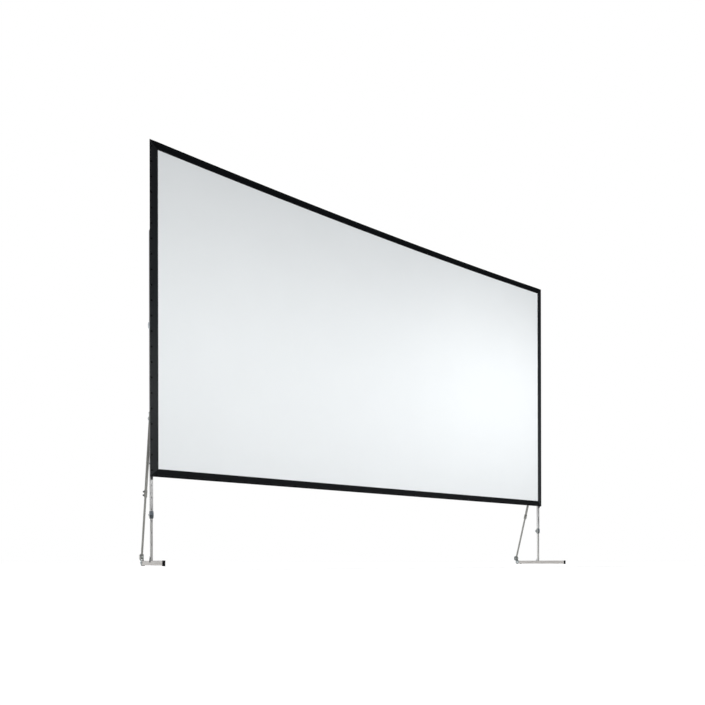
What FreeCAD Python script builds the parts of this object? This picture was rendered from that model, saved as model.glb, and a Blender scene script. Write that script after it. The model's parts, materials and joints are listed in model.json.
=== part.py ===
import FreeCAD, Part
import math
import os

# A large portable projection screen: a white cloth with a black border, pressed onto a
# plug-together aluminium frame, which two telescopic T-legs with rear braces carry.
# Millimetres, +Z up. The picture faces -Y. The origin lies on the floor, midway between
# the legs and midway between the front and the back of the feet.

# Cloth
image_width = 4800.0
image_height = 2700.0
border_width = 64.0
surface_thickness = 0.5
border_thickness = 1.0

# Press studs between the cloth and the rails
stud_pitch = 130.0
stud_end_distance = 53.0
stud_inset = 14.0
stud_post_radius = 5.0
stud_post_height = 3.0
stud_sides = 6

# Rails, couplers and corners of the frame
frame_bottom_z = 751.0
rail_inset = 6.0
rail_width = 50.0
rail_depth = 20.0
rail_wall = 2.0
rail_edge_bevel = 1.2
top_rail_count = 3
side_rail_count = 2
coupler_length = 200.0
coupler_wall = 2.5
spigot_length = 110.0
spigot_gap = 0.3
corner_round = 12.0

# Screws on the back of the frame
screw_radius = 3.0
screw_head_radius = 5.5
screw_head_height = 2.5
screw_hole_gap = 0.7
screw_end_distance = 55.0
side_screw_shift = 10.0
screw_sides = 6

# Masts, one behind each side of the frame
mast_size = 25.0
mast_wall = 2.0
mast_edge_bevel = 1.2
mast_length = 2430.0
mast_inset = 18.0
mast_gap = 3.0
mast_cap_height = 3.0
mast_cap_plug = 18.0
mast_cap_gap = 0.2

# Inner leg tubes and their row of pin holes
leg_size = 20.0
leg_wall = 2.0
leg_edge_bevel = 1.0
leg_length = 1055.0
pin_hole_radius = 4.0
pin_hole_pitch = 100.0
pin_hole_sides = 6
pin_hole_first = 135.0
pin_holes_in_leg = 9
pin_holes_in_mast = 3
pin_holes_below_mast = 3

# Feet
foot_length = 774.0
foot_width = 20.0
foot_height = 40.0
foot_wall = 2.0
foot_edge_bevel = 1.2
foot_clearance = 5.0
leg_from_front = 414.0
cap_wall = 1.0
cap_front = 3.0
cap_length = 10.0
pad_radius = 11.0
pad_from_rear = 14.0
pad_spacing = 56.0
pad_sides = 12

# Gusset bracket in the rear corner between leg and foot
gusset_height = 40.0
gusset_depth = 27.0
gusset_width = 18.0
gusset_flange = 3.0
gusset_web = 5.0
gusset_cheek = 2.0
gusset_cheek_drop = 14.0

# Height clamp at the lower end of each mast
height_clamp_z = 432.0
height_clamp_height = 65.0
height_clamp_lip = 5.0
height_clamp_side_wall = 4.5
height_clamp_front_wall = 4.5
height_clamp_rear_wall = 5.5
height_clamp_end_wall = 2.0
height_boss_radius = 10.0
height_boss_height = 7.0
height_boss_sides = 12
leg_slide_gap = 0.4
height_knob_radius = 19.0
height_knob_thickness = 10.0

# Frame clamp, which draws the side rail to the mast
frame_clamp_above_frame = 1280.0
frame_clamp_height = 58.0
frame_clamp_side_wall = 3.0
frame_clamp_rear_wall = 6.0
frame_clamp_boss_width = 22.0
frame_clamp_round = 8.0
frame_knob_radius = 20.0
frame_knob_thickness = 13.0
frame_screw_tip = 4.0

# Frame hook, a plate before the mast with a shelf under the bottom rail
hook_width = 18.0
hook_drop = 23.0
hook_rivet_height = 114.0
hook_plate_past_rivet = 16.0
hook_shelf_depth = 14.0
hook_cheek = 2.0
hook_cheek_height = 30.0
rivet_radius = 3.0
rivet_head_radius = 6.0
rivet_head_height = 3.0
rivet_sides = 6

# Brace collar on the mast and the brace's upper pivot
brace_pivot_z = 1252.0
brace_pivot_behind_mast = 20.0
collar_height = 100.0
collar_wall = 2.5
collar_lip = 1.5
collar_lip_height = 12.0
ear_thickness = 4.0
ear_radius = 13.0
pivot_bolt_radius = 4.0
pivot_bolt_head_radius = 7.5
pivot_bolt_head_height = 5.0
pivot_sides = 16

# Brace tubes
brace_outer_size = 20.0
brace_outer_wall = 1.5
brace_outer_edge_bevel = 1.0
brace_outer_length = 672.0
brace_outer_above_pivot = 11.0
brace_inner_size = 16.0
brace_inner_wall = 1.5
brace_inner_edge_bevel = 1.0
brace_inner_start = 280.0
ear_side_gap = 0.4
pivot_hole_gap = 0.3

# Brace sleeve with its two thumb screws
sleeve_length = 62.0
sleeve_wall = 1.8
sleeve_lip = 2.5
sleeve_bore_gap = 0.4
sleeve_edge_bevel = 1.4
thumb_screw_from_end = 14.0
thumb_screw_spacing = 31.0
thumb_screw_radius = 3.0
thumb_head_radius = 7.5
thumb_head_length = 9.0
thumb_neck_radius = 5.0
thumb_neck_length = 2.0
thumb_head_sides = 10

# Foot clevis, the brace's hub in it and the knob through both
foot_pivot_z = 78.0
foot_pivot_past_rear = 5.0
clevis_cheek = 3.0
clevis_radius = 30.0
clevis_reach = 45.0
clevis_lower_z = 10.0
clevis_bolt_from_rear = 22.0
clevis_bolt_radius = 8.0
clevis_bolt_height = 6.0
clevis_bolt_sides = 6
hub_radius = 25.0
hub_sides = 24
hub_side_gap = 0.5
hub_slot_gap = 2.0
foot_knob_radius = 22.0
foot_knob_thickness = 8.0
foot_knob_screw_radius = 5.0

# Knobs in common
knob_lobes = 6
knob_valley_share = 0.82
knob_hub_share = 0.55
knob_hub_height = 2.0
knob_screw_radius = 4.0

# Flat sides of the bores and of small holes
small_sides = 8

# Clearances and the overrun of cuts
seat_gap = 0.3
running_gap = 0.08
tube_hole_gap = 1.0
overrun = 5.0

# Places worked out from the sizes above
cloth_width = image_width + 2 * border_width
cloth_height = image_height + 2 * border_width
frame_top_z = frame_bottom_z + cloth_height
frame_middle_z = frame_bottom_z + cloth_height / 2
frame_clamp_z = frame_bottom_z + frame_clamp_above_frame

overall_depth = foot_length + foot_pivot_past_rear + clevis_radius
foot_front_y = -overall_depth / 2
foot_rear_y = foot_front_y + foot_length
foot_top_z = foot_clearance + foot_height

leg_y = foot_front_y + leg_from_front
mast_front_y = leg_y - mast_size / 2
mast_rear_y = leg_y + mast_size / 2
rail_rear_y = mast_front_y - mast_gap
rail_front_y = rail_rear_y - rail_depth
cloth_back_y = rail_front_y - stud_post_height
cloth_front_y = cloth_back_y - border_thickness

mast_x = -cloth_width / 2 + mast_inset
mast_bottom_z = height_clamp_z - height_clamp_height / 2 + height_clamp_lip
mast_top_z = mast_bottom_z + mast_length
knob_seat_y = mast_rear_y + height_boss_height

brace_pivot_y = mast_rear_y + brace_pivot_behind_mast
foot_pivot_y = foot_rear_y + foot_pivot_past_rear
brace_run = foot_pivot_y - brace_pivot_y
brace_drop = brace_pivot_z - foot_pivot_z
brace_length = math.hypot(brace_run, brace_drop)
brace_angle = math.degrees(math.atan2(brace_run, brace_drop))

rail_centre_inset = rail_inset + rail_width / 2
rail_block_inset = rail_inset + rail_width
long_rail_length = (cloth_width - 2 * rail_block_inset) / top_rail_count
side_rail_length = (cloth_height - 2 * rail_block_inset) / side_rail_count
screw_length = rail_wall + spigot_gap + coupler_wall
screw_hole_radius = screw_radius + screw_hole_gap

X_AXIS = FreeCAD.Vector(1, 0, 0)
Y_AXIS = FreeCAD.Vector(0, 1, 0)
Z_AXIS = FreeCAD.Vector(0, 0, 1)
QUARTER_TURN = 90


def point(x, y, z):
    return FreeCAD.Vector(x, y, z)


def block(x0, x1, y0, y1, z0, z1):
    """A box between two corners."""
    return Part.makeBox(x1 - x0, y1 - y0, z1 - z0, point(x0, y0, z0))


def rod(radius, start, end):
    """A cylinder from one point to another."""
    axis = end - start
    return Part.makeCylinder(radius, axis.Length, start, axis)


def prism_x(outline, x0, x1):
    """Extrude an outline of (y, z) points along X."""
    wire = Part.makePolygon([point(x0, y, z) for y, z in outline + outline[:1]])
    return Part.Face(wire).extrude(point(x1 - x0, 0, 0))


def prism_y(outline, y0, y1):
    """Extrude an outline of (x, z) points along Y."""
    wire = Part.makePolygon([point(x, y0, z) for x, z in outline + outline[:1]])
    return Part.Face(wire).extrude(point(0, y1 - y0, 0))


def bevel_edges(shape, size, direction):
    """Take the corner off every straight edge that runs along a direction."""
    edges = []
    for edge in shape.Edges:
        run = edge.Vertexes[-1].Point - edge.Vertexes[0].Point
        if run.Length > size and run.cross(direction).Length < size:
            edges.append(edge)
    return shape.makeChamfer(size, edges)


def turned_to(shape, axis, x, y, z):
    """Turn a piece that was made along +Z to an axis and put it in its place."""
    turn = FreeCAD.Rotation(Z_AXIS, axis)
    shape.Placement = FreeCAD.Placement(point(x, y, z), turn)
    return shape


def flat_rod(radius, start, end, sides):
    """A bar with flat sides from one point to another, its corners at the radius."""
    axis = end - start
    corners = []
    for side in range(sides):
        turn = 2 * math.pi * side / sides
        corners.append(point(radius * math.cos(turn), radius * math.sin(turn), 0))
    face = Part.Face(Part.makePolygon(corners + corners[:1]))
    return turned_to(face.extrude(point(0, 0, axis.Length)), axis, start.x, start.y, start.z)


def flat_hole(radius, start, end, sides=small_sides):
    """The cut for a hole with flat sides that clears the radius all round."""
    return flat_rod(radius / math.cos(math.pi / sides), start, end, sides)


def hollow_bar(width, depth, wall, length):
    """A square-edged hollow bar along +Z, centred on the Z axis."""
    outside = block(-width / 2, width / 2, -depth / 2, depth / 2, 0, length)
    inner_x = width / 2 - wall
    inner_y = depth / 2 - wall
    return outside.cut(block(-inner_x, inner_x, -inner_y, inner_y, -overrun, length + overrun))


def box_tube(width, depth, wall, edge_bevel, length):
    """A hollow bar along +Z whose four outer edges are bevelled."""
    outside = block(-width / 2, width / 2, -depth / 2, depth / 2, 0, length)
    return bevel_edges(outside, edge_bevel, Z_AXIS).common(hollow_bar(width, depth, wall, length))


def placed(shape, x, y, z):
    shape.translate(point(x, y, z))
    return shape


def mirrored(shape):
    """The same piece on the other side of the screen."""
    return shape.mirror(point(0, 0, 0), X_AXIS)


def star_knob(radius, thickness, screw_radius, screw_reach):
    """A lobed knob along +Z, its hub's seat at 0, its screw reaching down to -screw_reach."""
    valley = radius * knob_valley_share
    reaches = (radius, radius, valley, valley)
    corners = []
    for lobe in range(knob_lobes):
        for place, reach in enumerate(reaches):
            turn = 2 * math.pi * (lobe + place / len(reaches)) / knob_lobes
            corners.append(point(reach * math.cos(turn), reach * math.sin(turn), knob_hub_height))
    head = Part.Face(Part.makePolygon(corners + corners[:1])).extrude(point(0, 0, thickness))
    top_of_hub = point(0, 0, knob_hub_height)
    hub = flat_rod(radius * knob_hub_share, point(0, 0, 0), top_of_hub, small_sides)
    screw = rod(screw_radius, point(0, 0, -screw_reach), top_of_hub)
    return head.fuse(hub).fuse(screw).removeSplitter()


# Cloth: the projection surface and the four mitred strips of its border

def projection_surface():
    half = image_width / 2
    low_z = frame_bottom_z + border_width
    return block(-half, half, cloth_front_y, cloth_front_y + surface_thickness, low_z, low_z + image_height)


def cloth_border():
    outer_x, inner_x = cloth_width / 2, image_width / 2
    low, high = frame_bottom_z, frame_top_z
    low_in, high_in = low + border_width, high - border_width
    bottom = [(-outer_x, low), (outer_x, low), (inner_x, low_in), (-inner_x, low_in)]
    top = [(-outer_x, high), (outer_x, high), (inner_x, high_in), (-inner_x, high_in)]
    left = [(-outer_x, low), (-outer_x, high), (-inner_x, high_in), (-inner_x, low_in)]
    right = [(outer_x, low), (outer_x, high), (inner_x, high_in), (inner_x, low_in)]
    strips = [prism_y(outline, cloth_front_y, cloth_back_y) for outline in (bottom, top, left, right)]
    return Part.makeCompound(strips)


def stud_places():
    """Places (x, z) of the studs, evenly spaced along each side."""
    places = []
    across = cloth_width - 2 * stud_end_distance
    steps = round(across / stud_pitch)
    for step in range(steps + 1):
        x = -across / 2 + across * step / steps
        places += [(x, frame_bottom_z + stud_inset), (x, frame_top_z - stud_inset)]
    upward = cloth_height - 2 * stud_end_distance
    steps = round(upward / stud_pitch)
    for step in range(steps + 1):
        z = frame_middle_z - upward / 2 + upward * step / steps
        places += [(-cloth_width / 2 + stud_inset, z), (cloth_width / 2 - stud_inset, z)]
    return places


def stud_posts():
    posts = [flat_rod(stud_post_radius, point(x, cloth_back_y, z), point(x, rail_front_y, z), stud_sides)
             for x, z in stud_places()]
    return Part.makeCompound(posts)


# Frame: rails, couplers, corners and screws

def section_names(first, last, count):
    """Names of the sections of one row, from its first to its last."""
    between = ["middle" + str(index or "") for index in range(count - 2)]
    return [first] + between + [last]


def rail_runs():
    """Each rail's name, start (x, z), direction (x, z) and length."""
    runs = []
    start_x = -cloth_width / 2 + rail_block_inset
    levels = {"top": frame_top_z - rail_centre_inset, "bottom": frame_bottom_z + rail_centre_inset}
    for row, z in levels.items():
        for index, name in enumerate(section_names("left", "right", top_rail_count)):
            x = start_x + index * long_rail_length
            runs.append((f"rail_{row}_{name}", x, z, 1, 0, long_rail_length))
    start_z = frame_bottom_z + rail_block_inset
    side_x = cloth_width / 2 - rail_centre_inset
    for row, x in (("left", -side_x), ("right", side_x)):
        for index, name in enumerate(section_names("lower", "upper", side_rail_count)):
            z = start_z + index * side_rail_length
            runs.append((f"rail_{row}_{name}", x, z, 0, 1, side_rail_length))
    return runs


def starts_row(rail_name):
    """Whether a rail starts at a corner. The others start at a seam, with a coupler pressed in."""
    return rail_name.endswith(("_left", "_lower"))


def screw_places():
    """One screw at each corner spigot and each seam. Those of the side rails sit clear of the masts."""
    places = []
    for name, x, z, along_x, along_z, length in rail_runs():
        shift = 0 if along_x else -math.copysign(side_screw_shift, x)
        reaches = [length - screw_end_distance]
        if starts_row(name):
            reaches.append(screw_end_distance)
        for reach in reaches:
            places.append((x + along_x * reach + shift, z + along_z * reach))
    return places


def screw_holes():
    tip_y = rail_rear_y - screw_length - screw_hole_gap
    holes = [flat_hole(screw_hole_radius, point(x, tip_y, z), point(x, rail_rear_y + overrun, z), screw_sides)
             for x, z in screw_places()]
    return Part.makeCompound(holes)


def rail_screws():
    screws = []
    for x, z in screw_places():
        seat = point(x, rail_rear_y, z)
        head = flat_rod(screw_head_radius, seat, point(x, rail_rear_y + screw_head_height, z), screw_sides)
        shank = flat_rod(screw_radius, point(x, rail_rear_y - screw_length, z), seat, screw_sides)
        screws.append(head.fuse(shank))
    return Part.makeCompound(screws)


def laid_bar(bar, x, z, along_x):
    """Put a bar that was made along +Z on a rail's line, turned level if it runs along X."""
    if along_x:
        bar.rotate(point(0, 0, 0), Y_AXIS, QUARTER_TURN)
    return placed(bar, x, (rail_front_y + rail_rear_y) / 2, z)


def rails():
    holes = screw_holes()
    made = {}
    for name, x, z, along_x, along_z, length in rail_runs():
        bar = box_tube(rail_width, rail_depth, rail_wall, rail_edge_bevel, length)
        bar = laid_bar(bar, x, z, along_x).cut(holes)
        made[name] = bar.cut(clamp_screw_holes_in_rails())
    return made


def clamp_screw_holes_in_rails():
    start = point(clamp_screw_x(), rail_rear_y - rail_wall - frame_screw_tip, frame_clamp_z)
    end = point(clamp_screw_x(), rail_rear_y + overrun, frame_clamp_z)
    hole = flat_hole(knob_screw_radius + tube_hole_gap, start, end)
    return Part.makeCompound([hole, mirrored(hole)])


def inner_width():
    return rail_width - 2 * rail_wall - 2 * spigot_gap


def inner_depth():
    return rail_depth - 2 * rail_wall - 2 * spigot_gap


def rail_couplers():
    """Hollow bars inside the rails, one across each seam between two rails."""
    holes = screw_holes()
    couplers = []
    for name, x, z, along_x, along_z, length in rail_runs():
        if starts_row(name):
            continue
        bar = hollow_bar(inner_width(), inner_depth(), coupler_wall, coupler_length)
        half = coupler_length / 2
        couplers.append(laid_bar(bar, x - along_x * half, z - along_z * half, along_x).cut(holes))
    return Part.makeCompound(couplers)


def corner_bottom_left():
    x0 = -cloth_width / 2 + rail_inset
    z0 = frame_bottom_z + rail_inset
    x1, z1 = x0 + rail_width, z0 + rail_width
    body = block(x0, x1, rail_front_y, rail_rear_y, z0, z1)
    outer_edge = [edge for edge in body.Edges
                  if all(abs(vertex.X - x0) + abs(vertex.Z - z0) < rail_wall for vertex in edge.Vertexes)]
    body = body.makeFillet(corner_round, outer_edge)
    side = (rail_width - inner_width()) / 2
    front = rail_front_y + rail_wall + spigot_gap
    back = rail_rear_y - rail_wall - spigot_gap
    level = block(x1, x1 + spigot_length, front, back, z0 + side, z1 - side)
    upright = block(x0 + side, x1 - side, front, back, z1, z1 + spigot_length)
    return body.fuse(level).fuse(upright).cut(screw_holes())


def corners():
    left_low = corner_bottom_left()
    left_high = left_low.mirror(point(0, 0, frame_middle_z), Z_AXIS)
    return {
        "corner_bottom_left": left_low,
        "corner_bottom_right": mirrored(left_low),
        "corner_top_left": left_high,
        "corner_top_right": mirrored(left_high),
    }


# Mast with its cap, hook, clamps and brace collar. All are made for the left side.

def pin_hole_cut(z, size):
    start, end = point(mast_x, leg_y - size, z), point(mast_x, leg_y + size, z)
    return flat_hole(pin_hole_radius, start, end, pin_hole_sides)


def hook_rivet_hole(radius):
    rivet_z = frame_bottom_z + hook_rivet_height
    start = point(mast_x - mast_size, leg_y, rivet_z)
    return flat_hole(radius, start, point(mast_x + mast_size, leg_y, rivet_z), rivet_sides)


def mast():
    tube = box_tube(mast_size, mast_size, mast_wall, mast_edge_bevel, mast_length)
    tube = placed(tube, mast_x, leg_y, mast_bottom_z)
    first = foot_top_z + pin_hole_first + pin_holes_below_mast * pin_hole_pitch
    for index in range(pin_holes_in_mast):
        tube = tube.cut(pin_hole_cut(first + index * pin_hole_pitch, mast_size))
    knob_hole = flat_hole(knob_screw_radius + tube_hole_gap, point(mast_x, leg_y, height_clamp_z),
                          point(mast_x, leg_y + mast_size, height_clamp_z))
    return tube.cut(knob_hole).cut(hook_rivet_hole(rivet_radius + tube_hole_gap))


def mast_cap():
    head = mast_size / 2
    plug = mast_size / 2 - mast_wall - mast_cap_gap
    cap = block(-head, head, -head, head, 0, mast_cap_height)
    cap = bevel_edges(cap, mast_edge_bevel, Z_AXIS)
    cap = cap.fuse(block(-plug, plug, -plug, plug, -mast_cap_plug, 0))
    return placed(cap, mast_x, leg_y, mast_top_z)


def frame_hook():
    """A plate between mast and rail, with a shelf below the rail and cheeks beside the mast."""
    low_z = frame_bottom_z - hook_drop
    rail_low_z = frame_bottom_z + rail_inset
    rivet_z = frame_bottom_z + hook_rivet_height
    top_z = rivet_z + hook_plate_past_rivet
    shelf_y = rail_rear_y - hook_shelf_depth
    half = hook_width / 2
    outline = [(mast_front_y, low_z), (mast_front_y, top_z), (rail_rear_y, top_z), (rail_rear_y, rail_low_z),
               (shelf_y, rail_low_z), (shelf_y, rail_low_z - mast_gap), (rail_rear_y, low_z)]
    plate = prism_x(outline, mast_x - half, mast_x + half)
    side = mast_size / 2 + hook_cheek
    saddle = block(mast_x - side, mast_x + side, rail_rear_y, mast_rear_y - mast_edge_bevel,
                   rivet_z - hook_cheek_height / 2, rivet_z + hook_cheek_height / 2)
    inside = block(mast_x - mast_size / 2, mast_x + mast_size / 2, mast_front_y, mast_rear_y,
                   rivet_z - hook_cheek_height, rivet_z + hook_cheek_height)
    hook = plate.fuse(saddle.cut(inside)).removeSplitter()
    return hook.cut(hook_rivet_hole(rivet_radius + running_gap))


def hook_rivets():
    """One short rivet through each cheek of the hook and the mast's wall behind it."""
    rivet_z = frame_bottom_z + hook_rivet_height
    outside = mast_size / 2 + hook_cheek
    inside = mast_size / 2 - mast_wall
    rivets = []
    for away in (-1, 1):
        seat = point(mast_x + away * outside, leg_y, rivet_z)
        head_end = point(mast_x + away * (outside + rivet_head_height), leg_y, rivet_z)
        shank_end = point(mast_x + away * inside, leg_y, rivet_z)
        head = flat_rod(rivet_head_radius, seat, head_end, rivet_sides)
        rivets.append(head.fuse(flat_rod(rivet_radius, shank_end, seat, rivet_sides)))
    return Part.makeCompound(rivets)


def clamp_screw_x():
    return mast_x + mast_size / 2 + frame_clamp_boss_width / 2


def frame_clamp():
    """A moulded block round the mast, with a boss beside it for the screw into the side rail."""
    half = frame_clamp_height / 2
    x0 = mast_x - mast_size / 2 - frame_clamp_side_wall
    x1 = mast_x + mast_size / 2 + frame_clamp_boss_width
    rear_y = mast_rear_y + frame_clamp_rear_wall
    body = block(x0, x1, rail_rear_y, rear_y, frame_clamp_z - half, frame_clamp_z + half)
    rear_edges = [edge for edge in body.Edges
                  if all(abs(vertex.Y - rear_y) < mast_wall for vertex in edge.Vertexes)
                  and abs(edge.Vertexes[0].Z - edge.Vertexes[-1].Z) < mast_wall]
    body = body.makeFillet(frame_clamp_round, rear_edges)
    inside = block(mast_x - mast_size / 2, mast_x + mast_size / 2, mast_front_y, mast_rear_y,
                   frame_clamp_z - frame_clamp_height, frame_clamp_z + frame_clamp_height)
    start = point(clamp_screw_x(), rail_rear_y - overrun, frame_clamp_z)
    end = point(clamp_screw_x(), rear_y + overrun, frame_clamp_z)
    hole = flat_hole(knob_screw_radius + running_gap, start, end)
    return body.cut(inside).cut(hole)


def frame_clamp_knob():
    rear_y = mast_rear_y + frame_clamp_rear_wall
    reach = rear_y - rail_rear_y + rail_wall + frame_screw_tip + seat_gap
    knob = star_knob(frame_knob_radius, frame_knob_thickness, knob_screw_radius, reach)
    return turned_to(knob, Y_AXIS, clamp_screw_x(), rear_y + seat_gap, frame_clamp_z)


def barrel_side(place, bulge):
    """Points of one bulging side of the height clamp, from its lower to its upper end."""
    half = height_clamp_height / 2
    low = (place, height_clamp_z - half)
    middle = (place + bulge, height_clamp_z)
    high = (place, height_clamp_z + half)
    return low, middle, high


def barrel_face(side_a, side_b, at):
    """A face between two bulging sides, in the plane that the function at() gives."""
    low_a, middle_a, high_a = [at(*place) for place in side_a]
    low_b, middle_b, high_b = [at(*place) for place in side_b]
    edges = [Part.Arc(low_a, middle_a, high_a).toShape(), Part.LineSegment(high_a, high_b).toShape(),
             Part.Arc(high_b, middle_b, low_b).toShape(), Part.LineSegment(low_b, low_a).toShape()]
    return Part.Face(Part.Wire(edges))


def height_clamp():
    """A barrel-shaped moulding, bulging on all four sides, on the lower end of the mast."""
    end = mast_size / 2 + height_clamp_end_wall
    side_bulge = height_clamp_side_wall - height_clamp_end_wall
    front_bulge = height_clamp_front_wall - height_clamp_end_wall
    rear_bulge = height_clamp_rear_wall - height_clamp_end_wall
    front_y = leg_y - mast_size
    side_x = mast_x - mast_size
    left, right = barrel_side(mast_x - end, -side_bulge), barrel_side(mast_x + end, side_bulge)
    front, rear = barrel_side(leg_y - end, -front_bulge), barrel_side(leg_y + end, rear_bulge)
    seen_from_front = barrel_face(left, right, lambda x, z: point(x, front_y, z))
    seen_from_side = barrel_face(front, rear, lambda y, z: point(side_x, y, z))
    body = seen_from_front.extrude(point(0, 2 * mast_size, 0))
    body = body.common(seen_from_side.extrude(point(2 * mast_size, 0, 0)))
    boss = flat_rod(height_boss_radius, point(mast_x, mast_rear_y, height_clamp_z),
                    point(mast_x, knob_seat_y, height_clamp_z), height_boss_sides)
    half = height_clamp_height / 2
    socket = block(mast_x - mast_size / 2, mast_x + mast_size / 2, mast_front_y, mast_rear_y,
                   mast_bottom_z, height_clamp_z + half + overrun)
    way = leg_size / 2 + leg_slide_gap
    leg_way = block(mast_x - way, mast_x + way, leg_y - way, leg_y + way,
                    height_clamp_z - half - overrun, height_clamp_z)
    hole = flat_hole(knob_screw_radius + running_gap, point(mast_x, leg_y, height_clamp_z),
                     point(mast_x, knob_seat_y + overrun, height_clamp_z))
    return body.fuse(boss).cut(socket).cut(leg_way).cut(hole)


def height_clamp_knob():
    reach = knob_seat_y - leg_y - leg_size / 2
    knob = star_knob(height_knob_radius, height_knob_thickness, knob_screw_radius, reach)
    return turned_to(knob, Y_AXIS, mast_x, knob_seat_y + seat_gap, height_clamp_z)


def brace_collar():
    """A collar with a lip at each end and two ears behind it for the brace's pivot."""
    half = collar_height / 2
    side = mast_size / 2 + collar_wall
    lip = side + collar_lip
    front = mast_front_y - collar_wall
    body = block(mast_x - side, mast_x + side, front, mast_rear_y + collar_wall,
                 brace_pivot_z - half, brace_pivot_z + half)
    for z in (brace_pivot_z - half, brace_pivot_z + half - collar_lip_height):
        body = body.fuse(block(mast_x - lip, mast_x + lip, front, mast_rear_y + collar_wall + collar_lip,
                               z, z + collar_lip_height))
    ear_inside = brace_outer_size / 2 + ear_side_gap
    ear_outside = ear_inside + ear_thickness
    for x in (mast_x - ear_outside, mast_x + ear_inside):
        body = body.fuse(block(x, x + ear_thickness, mast_rear_y, brace_pivot_y,
                               brace_pivot_z - ear_radius, brace_pivot_z + ear_radius))
        body = body.fuse(flat_rod(ear_radius, point(x, brace_pivot_y, brace_pivot_z),
                                  point(x + ear_thickness, brace_pivot_y, brace_pivot_z), pivot_sides))
    inside = block(mast_x - mast_size / 2, mast_x + mast_size / 2, mast_front_y, mast_rear_y,
                   brace_pivot_z - collar_height, brace_pivot_z + collar_height)
    start = point(mast_x - mast_size, brace_pivot_y, brace_pivot_z)
    end = point(mast_x + mast_size, brace_pivot_y, brace_pivot_z)
    bolt = flat_hole(pivot_bolt_radius + running_gap, start, end, pivot_sides)
    return body.cut(inside).cut(bolt).removeSplitter()


def brace_pivot_bolt():
    side = brace_outer_size / 2 + ear_side_gap + ear_thickness
    tip = side + pivot_bolt_head_height
    at = brace_pivot_y, brace_pivot_z
    bolt = rod(pivot_bolt_radius, point(mast_x - side, *at), point(mast_x + side, *at))
    for away in (-1, 1):
        seat = point(mast_x + away * side, *at)
        bolt = bolt.fuse(flat_rod(pivot_bolt_head_radius, seat, point(mast_x + away * tip, *at), screw_sides))
    return bolt


# Brace. Its pieces are made hanging straight down from the upper pivot at the origin, and
# brace_placed() then tilts them back to the foot.

def brace_placed(shape):
    turn = FreeCAD.Rotation(X_AXIS, brace_angle)
    place = FreeCAD.Placement(point(mast_x, brace_pivot_y, brace_pivot_z), turn)
    shape.Placement = place.multiply(shape.Placement)
    return shape


def thumb_screw_drops():
    lower = brace_outer_length - thumb_screw_from_end
    return {"upper": lower - thumb_screw_spacing, "lower": lower}


def thumb_screw_holes(radius):
    holes = [flat_hole(radius, point(-brace_outer_size, 0, -drop), point(0, 0, -drop))
             for drop in thumb_screw_drops().values()]
    return Part.makeCompound(holes)


def brace_upper():
    length = brace_outer_above_pivot + brace_outer_length
    tube = box_tube(brace_outer_size, brace_outer_size, brace_outer_wall, brace_outer_edge_bevel, length)
    tube.translate(point(0, 0, -brace_outer_length))
    start, end = point(-brace_outer_size, 0, 0), point(brace_outer_size, 0, 0)
    hole = flat_hole(pivot_bolt_radius + pivot_hole_gap, start, end, pivot_sides)
    tube = tube.cut(hole).cut(thumb_screw_holes(thumb_screw_radius + tube_hole_gap))
    return brace_placed(tube)


def brace_sleeve():
    """A sleeve on the outer tube's lower end, with a lip that guides the inner tube."""
    outer = brace_outer_size / 2 + sleeve_wall
    low = -brace_outer_length - sleeve_lip
    body = block(-outer, outer, -outer, outer, low, low + sleeve_length)
    body = bevel_edges(body, sleeve_edge_bevel, Z_AXIS)
    socket = brace_outer_size / 2
    body = body.cut(block(-socket, socket, -socket, socket, -brace_outer_length, 0))
    way = brace_inner_size / 2 + sleeve_bore_gap
    body = body.cut(block(-way, way, -way, way, low - overrun, 0))
    return brace_placed(body.cut(thumb_screw_holes(thumb_screw_radius + running_gap)))


def brace_thumb_screw(which):
    """A round-headed screw on the outer side of the sleeve, its tip just off the inner tube."""
    reach = brace_outer_size / 2 + sleeve_wall - brace_inner_size / 2
    drop = thumb_screw_drops()[which]
    under_head = point(0, 0, thumb_neck_length)
    top = point(0, 0, thumb_neck_length + thumb_head_length)
    head = flat_rod(thumb_head_radius, under_head, top, thumb_head_sides)
    neck = flat_rod(thumb_neck_radius, point(0, 0, 0), under_head, small_sides)
    screw = rod(thumb_screw_radius, point(0, 0, -reach), point(0, 0, 0))
    made = head.fuse(neck).fuse(screw)
    outer = brace_outer_size / 2 + sleeve_wall + seat_gap
    return brace_placed(turned_to(made, -X_AXIS, -outer, 0, -drop))


def brace_lower():
    """The inner tube with a round hub, which hooks over the foot knob's screw from the front."""
    length = brace_length - brace_inner_start - hub_radius / 2
    tube = box_tube(brace_inner_size, brace_inner_size, brace_inner_wall, brace_inner_edge_bevel, length)
    tube.translate(point(0, 0, -brace_inner_start - length))
    half = foot_width / 2 - hub_side_gap
    hub = flat_rod(hub_radius, point(-half, 0, -brace_length), point(half, 0, -brace_length), hub_sides)
    slot_half = foot_knob_screw_radius + hub_slot_gap
    slot = block(-foot_width, foot_width, 0, hub_radius + overrun,
                 -brace_length - slot_half, -brace_length + slot_half)
    start, end = point(-foot_width, 0, -brace_length), point(foot_width, 0, -brace_length)
    seat = flat_hole(slot_half, start, end)
    return brace_placed(tube.fuse(hub).cut(slot).cut(seat).removeSplitter())


# Inner leg and foot

def leg_tube():
    tube = box_tube(leg_size, leg_size, leg_wall, leg_edge_bevel, leg_length)
    tube = placed(tube, mast_x, leg_y, foot_top_z)
    for index in range(pin_holes_in_leg):
        tube = tube.cut(pin_hole_cut(foot_top_z + pin_hole_first + index * pin_hole_pitch, leg_size))
    return tube


def foot_tube():
    length = foot_length - cap_front
    tube = box_tube(foot_width, foot_height, foot_wall, foot_edge_bevel, length)
    tube.rotate(point(0, 0, 0), X_AXIS, QUARTER_TURN)
    return placed(tube, mast_x, foot_rear_y, foot_clearance + foot_height / 2)


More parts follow.
